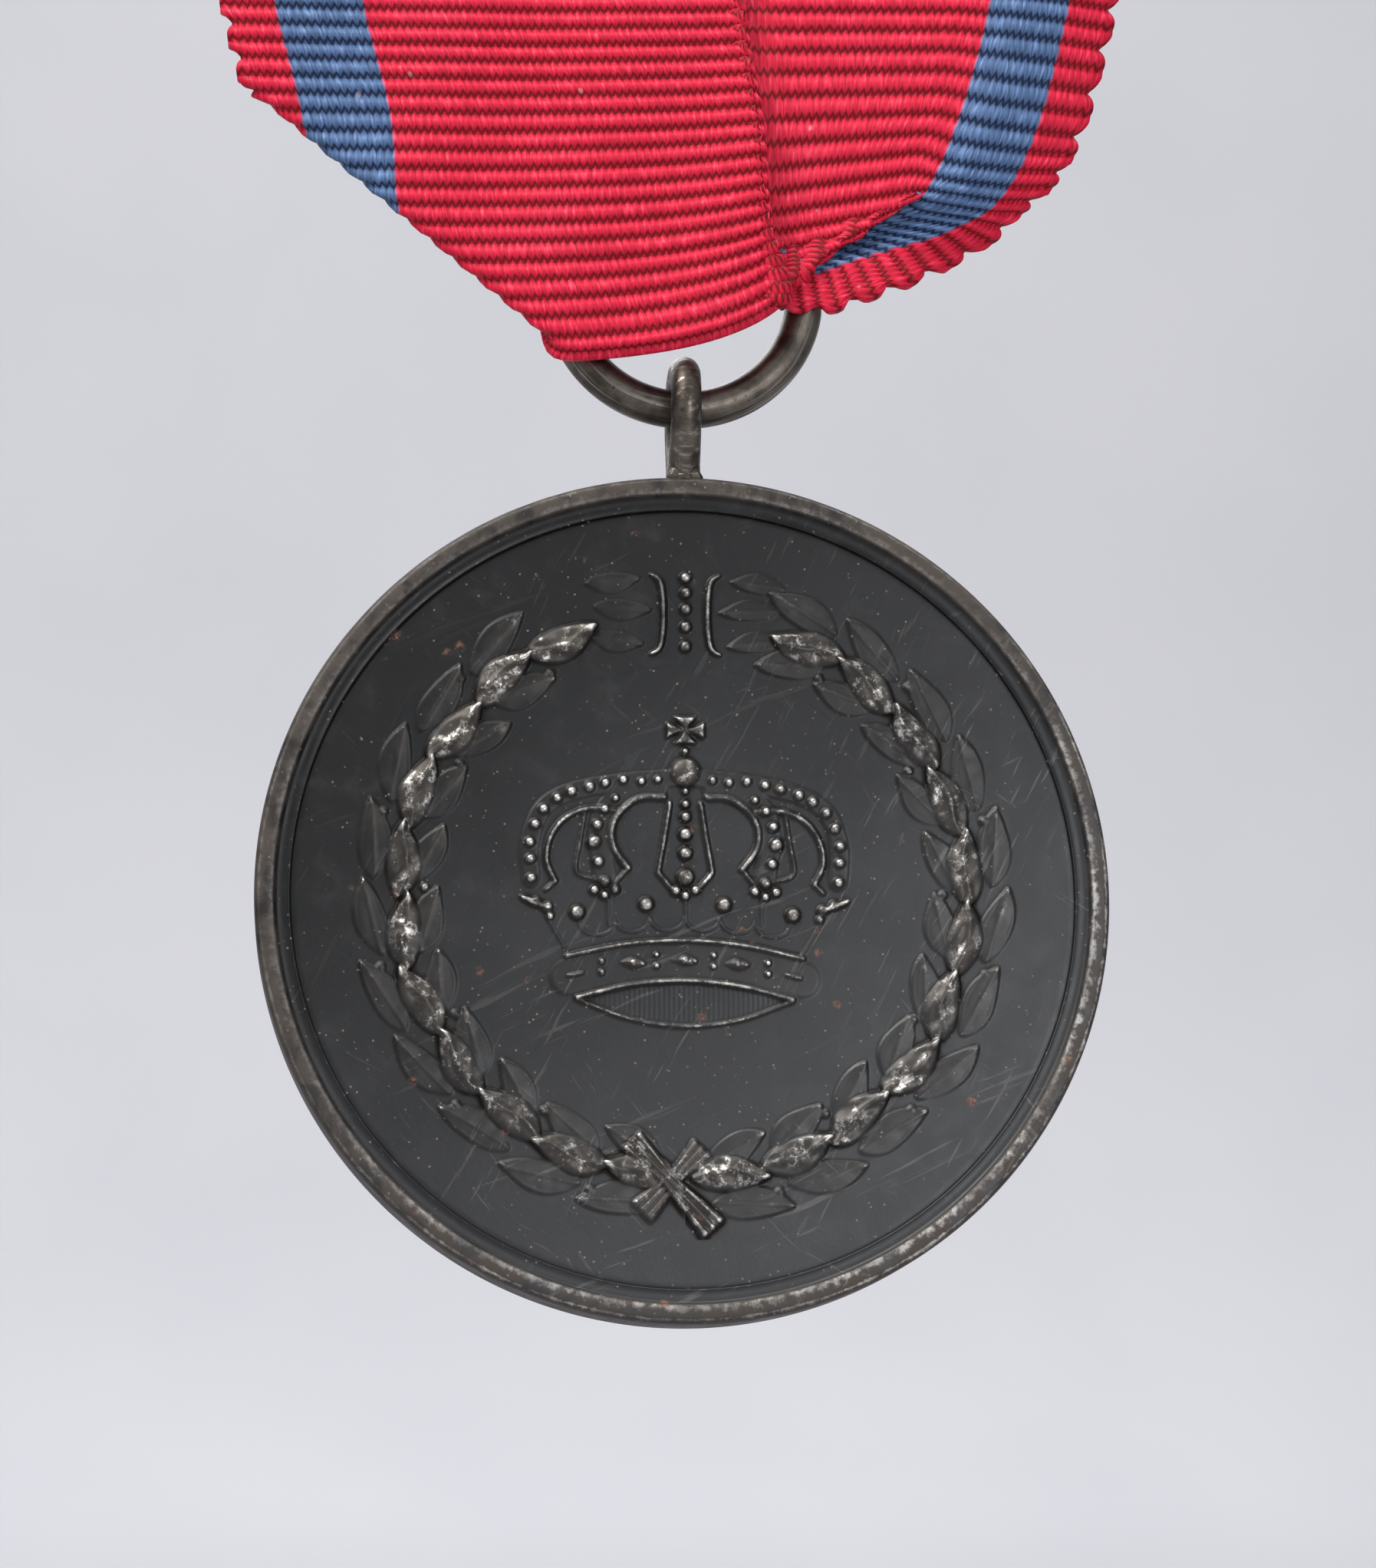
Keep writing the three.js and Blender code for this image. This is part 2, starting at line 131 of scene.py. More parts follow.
class WovenSilk(bpy.types.PropertyGroup):
    """The ribbon: its weave and its stripes."""

    rib: length("Rib pitch", "Distance from one rib to the next", 0.66)
    thread: length("Thread pitch", "Distance from one warp float to the next", 0.30)
    thickness: length("Thickness", "Thickness of the silk", 0.26)
    red: colour("Red", "Red silk", (0.61, 0.009, 0.040))
    # Deep red and deep blue are painted shade: the silk's own colours darkened for the valleys between the ribs.
    red_painted_shade: colour("Deep red", "Red silk between the ribs", (0.17, 0.001, 0.004))
    blue: colour("Blue", "Blue silk", (0.076, 0.138, 0.275))
    blue_painted_shade: colour("Deep blue", "Blue silk between the ribs", (0.008, 0.018, 0.055))


class MedalSettings(bpy.types.PropertyGroup):
    """Everything the medal's operators read."""

    metal: bpy.props.PointerProperty(type=StruckMetal, name="Struck metal", description="The disc")
    silk: bpy.props.PointerProperty(type=WovenSilk, name="Woven silk", description="The ribbon")


def settings():
    """What the operators read."""
    return bpy.context.scene.medal


# ---- Meshes and objects -------------------------------------------------------------------


def finish_mesh(bm, name, smooth_angle=None):
    """A bmesh in millimetres as an object in metres, at the origin, smooth shaded, with its faces turned as the
    bmesh had them.
    """
    bmesh.ops.scale(bm, vec=(MM, MM, MM), verts=bm.verts)
    mesh = bpy.data.meshes.new(name)
    bm.to_mesh(mesh)
    bm.free()
    made = bpy.data.objects.new(name, mesh)
    bpy.context.scene.collection.objects.link(made)
    mesh.polygons.foreach_set("use_smooth", [True] * len(mesh.polygons))
    if smooth_angle is not None:
        mesh.set_sharp_from_angle(angle=math.radians(smooth_angle))
    mesh.update()
    return made


def close_up(bm, distance=0.0005):
    """Merges doubled vertices and turns the faces outward."""
    bmesh.ops.remove_doubles(bm, verts=bm.verts, dist=distance)
    bmesh.ops.recalc_face_normals(bm, faces=bm.faces)


def add_outline(bm, points):
    """A chain of edges through points; returns its vertices and edges."""
    verts = [bm.verts.new(p) for p in points]
    return verts + [bm.edges.new(pair) for pair in zip(verts, verts[1:])]


def dress(made, material, body, instead_of=None):
    """Gives a piece its finish in a new slot and its body, and hides the node that it stands in for."""
    made.data.materials.append(material)
    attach(made, body)
    if instead_of:
        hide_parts(instead_of)


def coords_of(mesh):
    """Every vertex of a mesh, as rows of x, y and z."""
    co = np.empty(len(mesh.vertices) * 3, np.float32)
    mesh.vertices.foreach_get("co", co)
    return co.reshape(-1, 3).astype(float)


def store(mesh, name, values):
    """Keeps one number per vertex on the mesh, for its material."""
    attribute = mesh.attributes.new(name, "FLOAT", "POINT")
    attribute.data.foreach_set("value", np.asarray(values, np.float32).ravel())


def blur(grid, steps):
    """A soft average over a few cells each way."""
    out = grid.copy()
    for _ in range(steps):
        for axis in (0, 1):
            padded = np.pad(out, [(1, 1) if a == axis else (0, 0) for a in (0, 1)], mode="edge")
            first = padded.take(range(0, out.shape[axis]), axis)
            last = padded.take(range(2, out.shape[axis] + 2), axis)
            out = out * 0.5 + (first + last) * 0.25
    return out


def lumps(x, z, size, seed):
    """Smooth seeded unevenness, about -1 to 1, with bumps about that size."""
    rng = np.random.default_rng(seed)
    total = np.zeros_like(x)
    for _ in range(9):
        angle = rng.uniform(0, 2 * math.pi)
        wave = 2 * math.pi / (size * rng.uniform(0.8, 2.2))
        total += np.sin((x * math.cos(angle) + z * math.sin(angle)) * wave + rng.uniform(0, 6.28))
    return total / 4.5


# ---- Relief: heights above the field, in millimetres, over arrays of x and z ---------------


class Relief:
    """Heights over a sheet of points, raised one motif at a time."""

    def __init__(self, x, z):
        self.x, self.z = x, z
        self.height = np.zeros_like(x)

    def near(self, points, reach):
        """The block of the sheet within reach of points, which is empty if they are all off it."""
        px, pz = [p[0] for p in points], [p[1] for p in points]
        inside = (self.x > min(px) - reach) & (self.x < max(px) + reach)
        inside &= (self.z > min(pz) - reach) & (self.z < max(pz) + reach)
        rows, columns = np.nonzero(inside)
        if len(rows) == 0:
            return slice(0, 0), slice(0, 0)
        return slice(rows.min(), rows.max() + 1), slice(columns.min(), columns.max() + 1)

    def raise_to(self, block, height):
        """Lifts what lies lower than height up to it."""
        self.height[block] = np.maximum(self.height[block], height)

    def bead(self, x, z, radius, height):
        """A round bead."""
        block = self.near([(x, z)], radius)
        away = np.hypot(self.x[block] - x, self.z[block] - z) / radius
        self.raise_to(block, height * np.sqrt(np.clip(1 - away**2, 0, 1)))

    def line(self, points, width, height, taper=False, flat=False):
        """A raised line; a tapered one dies away at both ends."""
        block = self.near(points, width)
        x, z = self.x[block], self.z[block]
        best = np.full(x.shape, 9.0)
        along = np.zeros(x.shape)
        spans = np.hypot(*np.diff(np.array(points, float), axis=0).T)
        total, start = spans.sum(), 0.0
        for (ax, az), (bx, bz), span in zip(points, points[1:], spans):
            dx, dz = (bx - ax) / span, (bz - az) / span
            t = np.clip((x - ax) * dx + (z - az) * dz, 0, span)
            away = np.hypot(x - ax - t * dx, z - az - t * dz)
            along = np.where(away < best, (start + t) / total, along)
            best = np.minimum(best, away)
            start += span
        half = width / 2
        if taper:
            half = half * np.sqrt(np.clip(1 - (2 * along - 1) ** 4, 0.02, 1))
        share = np.clip(1 - (best / half) ** 2, 0, 1)
        self.raise_to(block, height * (np.clip(share * 3, 0, 1) if flat else np.sqrt(share)))

    def leaf(self, root, tip, width, height, style, seed=0):
        """A laurel leaf from root to tip: full, with a sunk vein, or a faint raised outline."""
        run = math.hypot(tip[0] - root[0], tip[1] - root[1])
        block = self.near([root, tip], width)
        dx, dz = (tip[0] - root[0]) / run, (tip[1] - root[1]) / run
        x, z = self.x[block] - root[0], self.z[block] - root[1]
        along = (x * dx + z * dz) / run
        side = z * dx - x * dz
        inside = (along > 0) & (along < 1)
        bend = 0.12 * width * np.sin(along * 5.5 + seed)
        half = width / 2 * np.sin(math.pi * np.clip(along, 0, 1) ** 0.85) ** 0.8 + 1e-6
        across = np.abs(side - bend * 0.5) / half
        inside &= across < 1
        dome = np.sqrt(np.clip(1 - across**2.4, 0, 1))
        if style == "full":
            spine = np.exp(-(((side - bend) / 0.13) ** 2)) * 0.22
            twist = 0.11 * np.sin(along * run * 4.6 + side * 5.0 + seed * 1.7)
            blade = dome * (0.46 + 0.42 * along + spine + twist)
            blade += 0.07 * lumps(self.x[block], self.z[block], 0.5, seed) * dome
        else:
            rim = np.exp(-(((across - 0.88) / 0.09) ** 2)) * np.clip(1.2 * along, 0.15, 1)
            spine = np.exp(-((side / 0.07) ** 2)) * 0.16
            blade = 0.72 * dome * (0.4 + 0.6 * along) + 0.3 * rim + spine * dome
            blade += 0.08 * lumps(self.x[block], self.z[block], 0.7, seed) * dome
        self.raise_to(block, np.where(inside, height * np.clip(blade, 0, 1.4), 0))


def curve_through(points, count):
    """Points on a smooth curve through the given ones."""
    p = np.array(points, float)
    p = np.vstack([2 * p[0] - p[1], p, 2 * p[-1] - p[-2]])
    spans, out = len(p) - 3, []
    for i in range(spans):
        a, b, c, d = p[i : i + 4]
        for t in np.linspace(0, 1, max(2, count // spans), endpoint=i == spans - 1):
            q = 2 * b + (c - a) * t + (2 * a - 5 * b + 4 * c - d) * t**2 + (3 * b - a - 3 * c + d) * t**3
            out.append(0.5 * q)
    return [tuple(q) for q in out]


def on_wreath(turn, radius, side):
    """A point on one spray: turn is in degrees up from the tie, side is -1 or 1."""
    angle = math.radians(turn)
    return side * radius * math.sin(angle), -radius * math.cos(angle)


LEAF_STEP = 14.5  # degrees from one main leaf to the next
LEAVES = 11  # main leaves to a spray


def wreath_relief(sheet, tall):
    """Two laurel sprays, their berries, the tie and the beaded ornament at the top."""
    for side in (-1, 1):
        for i in range(LEAVES):
            tip = 16 + i * LEAF_STEP
            shift = math.sin(i * 2.3 + side) * 0.15
            seed = 40 + i * 3 + side
            inner = on_wreath(tip - 12, 10.5, side), on_wreath(tip + 2.5, 9.6 + shift, side)
            outer = on_wreath(tip - 11, 11.9, side), on_wreath(tip + 3.5, 12.55 + shift, side)
            if i < LEAVES - 1 or side == 1:
                sheet.leaf(*inner, 1.25, tall * 0.46, "faint", seed)
                sheet.leaf(*outer, 1.3, tall * 0.48, "faint", seed + 1)
            main = on_wreath(tip - 15, 11.0 - shift, side), on_wreath(tip + 1, 11.0 + shift * 2, side)
            sheet.leaf(*main, 1.42, tall, "full", seed + 2)
            if i % 2 == 0 and i < LEAVES - 1:
                sheet.bead(*on_wreath(tip + 1.5, 12.0, side), 0.2, tall * 0.36)
            elif i < LEAVES - 1:
                sheet.bead(*on_wreath(tip + 2, 10.0, side), 0.19, tall * 0.36)
        for root, tip in [((3.9, 12.1), (1.75, 12.35)), ((3.7, 10.0), (1.6, 9.75)), ((3.6, 11.2), (1.3, 11.1))]:
            sheet.leaf((side * root[0], root[1]), (side * tip[0], tip[1]), 0.85, tall * 0.34, "faint", 90)
    for z in (9.71, 10.49, 11.2, 11.85, 12.46):
        sheet.bead(0, z, 0.24, tall * 0.62)
    for side in (-1, 1):
        bracket = curve_through([(side * 1.42, 9.35), (side * 0.98, 9.7), (side * 0.86, 11.0),
                                 (side * 0.98, 12.25), (side * 1.4, 12.6)], 24)
        sheet.line(bracket, 0.26, tall * 0.5, taper=True)
    bands = [((0.75, -9.75), (-1.75, -12.35)), ((-2.15, -9.45), (1.15, -12.95))]
    for level, (start, end) in enumerate(bands):
        tie_band(sheet, start, end, 1.25, tall * (0.55 + 0.35 * level))


def tie_band(sheet, start, end, width, height):
    """One end of the tie: a folded strip with creases along it."""
    run = math.hypot(end[0] - start[0], end[1] - start[1])
    dx, dz = (end[0] - start[0]) / run, (end[1] - start[1]) / run
    block = sheet.near([start, end], width)
    x, z = sheet.x[block] - start[0], sheet.z[block] - start[1]
    along, side = (x * dx + z * dz) / run, z * dx - x * dz
    half = width / 2 * (0.55 + 0.45 * np.abs(2 * along - 0.9))
    inside = (along > 0) & (along < 1) & (np.abs(side) < half)
    creases = 0.82 + 0.18 * np.cos(side / half * math.pi * 3.5)
    edge = np.clip((half - np.abs(side)) / 0.12, 0, 1)
    edge = edge * np.clip(np.minimum(along, 1 - along) * run / 0.15, 0, 1)
    sheet.raise_to(block, np.where(inside, height * creases * edge, 0))


def both_sides(points):
    """Points as they are, and mirrored."""
    return [points, [(-x, z) for x, z in points]]


def crown_relief(sheet, tall):
    """A closed crown: a circlet, five beaded arches seen from the front, an orb and a cross."""
    arches = [
        ([(0.5, 4.5), (2.4, 4.3), (4.4, 3.9), (5.5, 3.2), (5.98, 1.9), (5.93, 0.5)], 0.75, 0.16),
        ([(1.1, 4.0), (2.2, 3.95), (3.0, 3.3), (3.3, 2.2), (3.1, 0.7)], 0.9, 0.16),
    ]
    for points, width, share in arches:
        for outline in both_sides(points):
            sheet.line(curve_through(outline, 40), width, tall * share, flat=True)
    ridges = [
        ([(2.75, 3.2), (3.74, 3.25), (4.65, 2.86), (5.2, 2.1), (5.34, 1.2), (5.0, 0.4)], 0.22, 0.42),
        ([(0.83, 3.75), (1.74, 3.7), (2.47, 3.2), (2.83, 2.5), (2.74, 1.7), (2.2, 0.95)], 0.26, 0.48),
        ([(0.6, 3.5), (0.8, 2.2), (1.05, 0.8)], 0.2, 0.4),
        ([(1.05, 0.8), (0.55, 0.2)], 0.2, 0.4),
        ([(3.85, 3.3), (4.05, 2.0), (4.2, 0.8), (3.5, 0.5)], 0.14, 0.28),
        ([(2.2, 0.95), (2.7, 0.35)], 0.18, 0.34),
        ([(5.0, 0.4), (5.35, 0.05)], 0.18, 0.34),
        ([(5.25, -1.1), (4.45, -2.45)], 0.1, 0.2),
        ([(2.98, -0.1), (2.93, -1.25)], 0.1, 0.2),
    ]
    for points, width, share in ridges:
        for outline in both_sides(points):
            sheet.line(curve_through(outline, 32), width, tall * share)
    crown_beads(sheet, tall)
    crown_circlet(sheet, tall)
    sheet.bead(0, 4.73, 0.58, tall * 0.85)
    cross(sheet, 6.38, tall * 0.55)


def crown_beads(sheet, tall):
    """The beads along the arches, and the leaf heads at their feet."""
    for x, z in [(1.06, 4.42), (1.7, 4.34), (2.4, 4.4), (3.1, 4.26), (3.7, 4.1), (4.4, 3.9),
                 (4.95, 3.64), (5.47, 3.2), (5.8, 2.6), (6.0, 1.9), (5.97, 1.25), (5.93, 0.5)]:
        radius = 0.15 + 0.07 * min(1, x / 4)
        for side in (-1, 1):
            sheet.bead(side * x, z, radius, tall * 0.75)
    for x, z, radius in [(2.7, 3.66, 0.15), (3.12, 3.23, 0.2), (3.4, 2.61, 0.22), (3.52, 1.94, 0.27),
                         (3.35, 1.17, 0.22)]:
        for side in (-1, 1):
            sheet.bead(side * x, z, radius, tall * 0.85)
    for z, radius in [(3.98, 0.12), (3.47, 0.17), (2.97, 0.21), (2.3, 0.26), (1.55, 0.27)]:
        sheet.bead(0, z, radius, tall * 0.85)
    for side in (-1, 1):
        sheet.bead(side * 1.5, -0.45, 0.29, tall * 0.75)
        sheet.bead(side * 4.15, -0.8, 0.29, tall * 0.75)
        for x, z, radius in [(3.1, 0.42, 0.24), (2.7, 0.1, 0.2), (3.5, 0.08, 0.2), (3.1, -0.12, 0.18)]:
            sheet.bead(side * x, z, radius, tall * 0.62)
        for x, z, radius in [(5.3, -0.6, 0.22), (5.75, -0.4, 0.22), (5.2, -0.95, 0.17)]:
            sheet.bead(side * x, z, radius, tall * 0.5)
        sheet.line([(side * 5.3, -0.65), (side * 6.35, -0.2)], 0.26, tall * 0.55, taper=True)
    for x, z, radius in [(0, 0.62, 0.34), (-0.36, 0.08, 0.2), (0.38, 0.12, 0.2), (0, -0.1, 0.18)]:
        sheet.bead(x, z, radius, tall * 0.7)
    sheet.bead(0, 5.55, 0.16, tall * 0.5)


def crown_circlet(sheet, tall):
    """The jewelled band, the scallops above it and the opening below it."""

    def arc(high, ends, half):
        """A bowed line from side to side."""
        shoulder = (high * 3 + ends) / 4
        points = [(-half, ends), (-half / 2, shoulder), (0, high), (half / 2, shoulder), (half, ends)]
        return curve_through(points, 40)

    sheet.line(arc(-2.65, -3.3, 4.5), 1.5, tall * 0.14, flat=True)
    sheet.line(arc(-1.85, -2.5, 4.55), 0.2, tall * 0.5)
    sheet.line(arc(-3.4, -4.08, 4.15), 0.2, tall * 0.52)
    sheet.line(arc(-5.15, -4.15, 4.15), 0.15, tall * 0.36)
    for i in (2, 4, 6):
        x = -4.0 + i * 0.999
        z = -2.62 - 0.03 * x * x
        sheet.leaf((x - 0.5, z), (x + 0.5, z), 0.44, tall * 0.7, "faint")
        sheet.bead(x, z, 0.2, tall * 0.7)
    for side in (-1, 1):
        sheet.line([(side * 3.85, -3.12), (side * 4.55, -3.28)], 0.16, tall * 0.5, taper=True)
        for x in (1.1, 3.2):
            drop = 0.03 * x * x
            sheet.bead(side * x, -2.38 - drop, 0.13, tall * 0.6)
            sheet.bead(side * x, -2.8 - drop, 0.14, tall * 0.6)
    for i in range(6):
        x = -3.4 + 1.36 * i
        scallop = [(x + 0.66 * math.cos(a), -0.95 - 0.02 * x * x + 0.5 * math.sin(a))
                   for a in np.linspace(math.pi, 2 * math.pi, 12)]
        sheet.line(scallop, 0.1, tall * 0.2)
    sheet.line([(0, -0.2), (0.03, -0.95)], 0.1, tall * 0.22)
    hatch_opening(sheet, tall * 0.05)


def hatch_opening(sheet, height):
    """Faint upright lines in the crown's opening."""
    block = sheet.near([(-4, -5.1), (4, -3.5)], 0.1)
    x, z = sheet.x[block], sheet.z[block]
    inside = (np.abs(x) < 3.7) & (z < -3.55 - 0.035 * x * x) & (z > -5.0 + 0.055 * x * x)
    spacing = 0.19
    sheet.height[block] += np.where(inside, height * (0.5 + 0.5 * np.cos(x * 2 * math.pi / spacing)), 0)


def cross(sheet, z, height):
    """A small cross with widening arms."""
    block = sheet.near([(0, z)], 1.1)
    x, up = np.abs(sheet.x[block]), np.abs(sheet.z[block] - z)
    half_width, half_height = 0.78, 0.56
    along = np.maximum(x / half_width, up / half_height)
    across = np.minimum(x / half_width, up / half_height)
    reach = np.clip(0.16 + 0.52 * along**1.3 - across, 0, 1)
    inside = (along < 1) & (reach > 0)
    edge = np.clip(np.minimum(reach * 5, (1 - along) * 8), 0, 1)
    sheet.raise_to(block, np.where(inside, height * edge * (0.8 + 0.2 * across * 3), 0))


# ---- The disc -----------------------------------------------------------------------------


def sheet_of(bm, columns, rows, place):
    """A grid of quads laid out by place(across, along), both 0 to 1; returns rows of vertices."""
    made = bmesh.ops.create_grid(bm, x_segments=columns, y_segments=rows, size=1)["verts"]
    grid = np.empty((rows + 1, columns + 1), object)
    for vert in made:
        grid[round((vert.co.y + 1) / 2 * rows), round((vert.co.x + 1) / 2 * columns)] = vert
    across, along = np.meshgrid(np.linspace(0, 1, columns + 1), np.linspace(0, 1, rows + 1))
    return grid, place(across, along)


def set_points(grid, x, y, z):
    """Moves a grid's vertices to the points."""
    for vert, point in zip(grid.ravel(), zip(x.ravel(), y.ravel(), z.ravel())):
        vert.co = point


def relief_plate(name, columns, rows, place, motifs):
    """One stretch of the obverse with its relief, as a closed thin plate let into the disc."""
    metal = settings().metal
    bm = bmesh.new()
    grid, (x, z) = sheet_of(bm, columns, rows, place)
    sheet = Relief(x, z)
    motifs(sheet, metal.relief)
    height = blur(sheet.height, 1)
    worn = height - blur(height, 14)
    proud, skirt_depth = 0.006, 0.2
    field = DISC_CENTRE.y - DISC_HALF + metal.field_depth - proud
    grain = 0.004 * lumps(x, z, 1.9, 7)
    set_points(grid, x, field - height + grain * np.clip(height * 20, 0, 1), z + DISC_CENTRE.z)
    rim = [e for e in bm.edges if e.is_boundary]
    skirt = bmesh.ops.extrude_edge_only(bm, edges=rim)["geom"]
    for edge in rim:
        edge.smooth = False
    bottom = [g for g in skirt if isinstance(g, bmesh.types.BMVert)]
    bmesh.ops.scale(bm, vec=(1, 0, 1), verts=bottom)
    bmesh.ops.translate(bm, vec=(0, field + skirt_depth, 0), verts=bottom)
    bmesh.ops.holes_fill(bm, edges=[e for e in bm.edges if e.is_boundary], sides=0)
    order = np.array([v.index for v in grid.ravel()])
    bmesh.ops.recalc_face_normals(bm, faces=bm.faces)
    made = finish_mesh(bm, name)
    for key, values in (("height", height), ("worn", worn)):
        every = np.zeros(len(made.data.vertices))
        every[order] = values.ravel()
        store(made.data, key, every)
    dress(made, black_patina(), "medal")


def rim_section():
    """Half of the disc's section as (radius, y), from the middle of a face out to the edge."""
    metal = settings().metal
    face = -DISC_HALF
    field, ledge = face + metal.field_depth, face + metal.ledge_depth
    rim = DISC_RADIUS - metal.rim_width
    inner = rim - metal.ledge_width
    return [
        (0, field), (4, field), (8, field), (12, field), (inner - 0.3, field), (inner - 0.12, field),
        (inner - 0.05, field + 0.025), (inner - 0.01, ledge - 0.02), (inner + 0.03, ledge - 0.035),
        (inner + 0.08, ledge),
        (rim - 0.12, ledge + 0.01), (rim - 0.05, ledge - 0.03), (rim, face + 0.09), (rim + 0.06, face + 0.01),
        (rim + 0.12, face), (DISC_RADIUS - 0.28, face + 0.005), (DISC_RADIUS - 0.18, face + 0.035),
        (DISC_RADIUS - 0.08, face + 0.12), (DISC_RADIUS - 0.02, face + 0.26), (DISC_RADIUS, face + 0.5),
    ]


def disc_blank():
    """The struck blank: both rims, the edge, and the two flat fields."""
    front = rim_section()
    back = [(radius, -y) for radius, y in reversed(front)]
    bm = bmesh.new()
    outline = add_outline(bm, [(radius, y, 0) for radius, y in front + [(DISC_RADIUS, 0)] + back])
    bmesh.ops.spin(bm, geom=outline, axis=(0, 1, 0), cent=(0, 0, 0), steps=288, angle=2 * math.pi,
                   use_merge=True, use_duplicate=False)
    close_up(bm)
    bmesh.ops.translate(bm, vec=DISC_CENTRE, verts=bm.verts)
    made = finish_mesh(bm, "disc_blank", smooth_angle=50)
    co = coords_of(made.data) / MM - np.array(DISC_CENTRE)
    radius = np.hypot(co[:, 0], co[:, 2])
    metal = settings().metal
    rim = DISC_RADIUS - metal.rim_width

    def near(where, width):
        """1 at a radius, falling away over the width."""
        return np.exp(-(((radius - where) / width) ** 2))

    worn = 0.085 * near(rim + 0.1, 0.06) + 0.08 * near(DISC_RADIUS - 0.16, 0.09)
    worn += 0.03 * near(rim - metal.ledge_width + 0.03, 0.03)
    store(made.data, "worn", worn * (np.abs(co[:, 1]) > 0.4))
    store(made.data, "rim", np.clip((radius - rim + 0.1) / 0.15, 0, 1))
    dress(made, black_patina(), "medal", "medal_disc")


def crown_place(across, along):
    """The crown's stretch of the field: its corners stop short of the wreath."""
    low, tall, half, reach = -5.55, 13.0, 6.95, 8.85
    z = along * tall + low
    return (across - 0.5) * 2 * np.minimum(half, np.sqrt(reach**2 - z**2)), z


def wreath_place(side):
    """One half of the ring of field that the wreath stands on."""
    inside, wide = 8.95, 4.35

    def place(across, along):
        radius, turn = inside + across * wide, math.pi * along
        return side * radius * np.sin(turn), -radius * np.cos(turn)

    return place


class MEDAL_OT_disc(bpy.types.Operator):
    """Strike the disc: its blank, the crown and the two halves of the wreath"""

    bl_idname = "medal.disc"
    bl_label = "Struck Disc"

    def execute(self, context):
        disc_blank()
        relief_plate("crown_relief", 280, 262, crown_place, crown_relief)
        relief_plate("wreath_left", 92, 720, wreath_place(-1), wreath_relief)
        relief_plate("wreath_right", 92, 720, wreath_place(1), wreath_relief)
        return {"FINISHED"}


# ---- The ring and the eyelet --------------------------------------------------------------


def swept(name, points, radii, bevel=8):
    """A round wire along points, thicker or thinner by radii, with its ends closed."""
    curve = bpy.data.curves.new(name, "CURVE")
    curve.dimensions = "3D"
    curve.bevel_depth = 1.0
    curve.bevel_resolution = bevel
    curve.use_fill_caps = True
    spline = curve.splines.new("POLY")
    spline.points.add(len(points) - 1)
    for knot, point, radius in zip(spline.points, points, radii):
        knot.co = (*point, 1)
        knot.radius = radius
    holder = bpy.data.objects.new(name, curve)
    bpy.context.scene.collection.objects.link(holder)
    mesh = bpy.data.meshes.new_from_object(holder)
    bpy.data.objects.remove(holder)
    bm = bmesh.new()
    bm.from_mesh(mesh)
    bpy.data.meshes.remove(mesh)
    close_up(bm)
    return bm


def split_ring():
    """The suspension ring: an open circle, its upper end sprung a little outward."""
    split, gap, steps = math.radians(-4), 0.16 / RING_RADIUS, 144
    points = []
    for t in np.linspace(0, 1, steps + 1):
        angle = split + gap / 2 + t * (2 * math.pi - gap)
        reach = RING_RADIUS + 0.12 * math.exp(-t * 14)
        points.append((reach * math.cos(angle), RING_CENTRE.y, RING_CENTRE.z + reach * math.sin(angle)))
    radii = [RING_WIRE / 2 * (1 - 0.05 * math.exp(-min(t, steps - t) * 1.2)) for t in range(steps + 1)]
    bm = swept("ring_wire", points, radii, bevel=10)
    made = finish_mesh(bm, "ring_wire", smooth_angle=45)
    dress(made, tarnished_wire("ring_tarnish", RING_CENTRE), "ring", "suspension_ring")


def eyelet_loop():
    """The eyelet: a teardrop of wire edge-on to the face, its feet soldered to the disc's edge."""
    low, high = box_mm("eyelet")
    foot_past_wire = 0.4  # how much wider the foot is than the wire
    wire = high.x - low.x - foot_past_wire
    top = high.z - wire / 2 - EYELET_AXIS.z
    side = RING_WIRE / 2 + 0.25 + wire / 2
    foot = DISC_CENTRE.z + DISC_RADIUS - EYELET_AXIS.z
    half = [(0.42, foot + 0.1), (0.55, foot + 0.55), (side * 0.82, -1.25), (side, -0.15), (side * 0.76, top * 0.72)]
    path = half + [(0, top)] + [(-y, z) for y, z in reversed(half)]
    points = [(0, EYELET_AXIS.y + y, EYELET_AXIS.z + z) for y, z in curve_through(path, 90)]
    ends = [1 + 0.16 * math.exp(-min(i, len(points) - 1 - i) / 7) for i in range(len(points))]
    bm = swept("eyelet_wire", points, [wire / 2 * e for e in ends], bevel=9)
    made = finish_mesh(bm, "eyelet_wire", smooth_angle=45)
    dress(made, tarnished_wire("eyelet_tarnish", EYELET_AXIS), "medal", "eyelet")
    bm = bmesh.new()
    bmesh.ops.create_cube(bm, size=1)
    bmesh.ops.scale(bm, vec=(1.45, 2.1, 0.62), verts=bm.verts)
    bmesh.ops.bevel(bm, geom=bm.edges, offset=0.2, segments=4, profile=0.5, affect="EDGES", material=-1)
    for vert in bm.verts:
        if vert.co.z > 0:
            vert.co.x *= 0.82
    bmesh.ops.translate(bm, vec=(0, EYELET_AXIS.y, EYELET_AXIS.z + foot + 0.2), verts=bm.verts)
    solder = finish_mesh(bm, "eyelet_foot")
    dress(solder, tarnished_wire("solder_tarnish", EYELET_AXIS), "medal")


class MEDAL_OT_hangings(bpy.types.Operator):
    """Bend the split ring and the eyelet"""

    bl_idname = "medal.hangings"
    bl_label = "Ring and Eyelet"

    def execute(self, context):
        split_ring()
        eyelet_loop()
        return {"FINISHED"}


# ---- The ribbon ---------------------------------------------------------------------------
# A point of the ribbon is (u, v): u across it from its left edge, and v down it from the line
# at START_Z. Places below are x, y and z from FOLD_CENTRE.

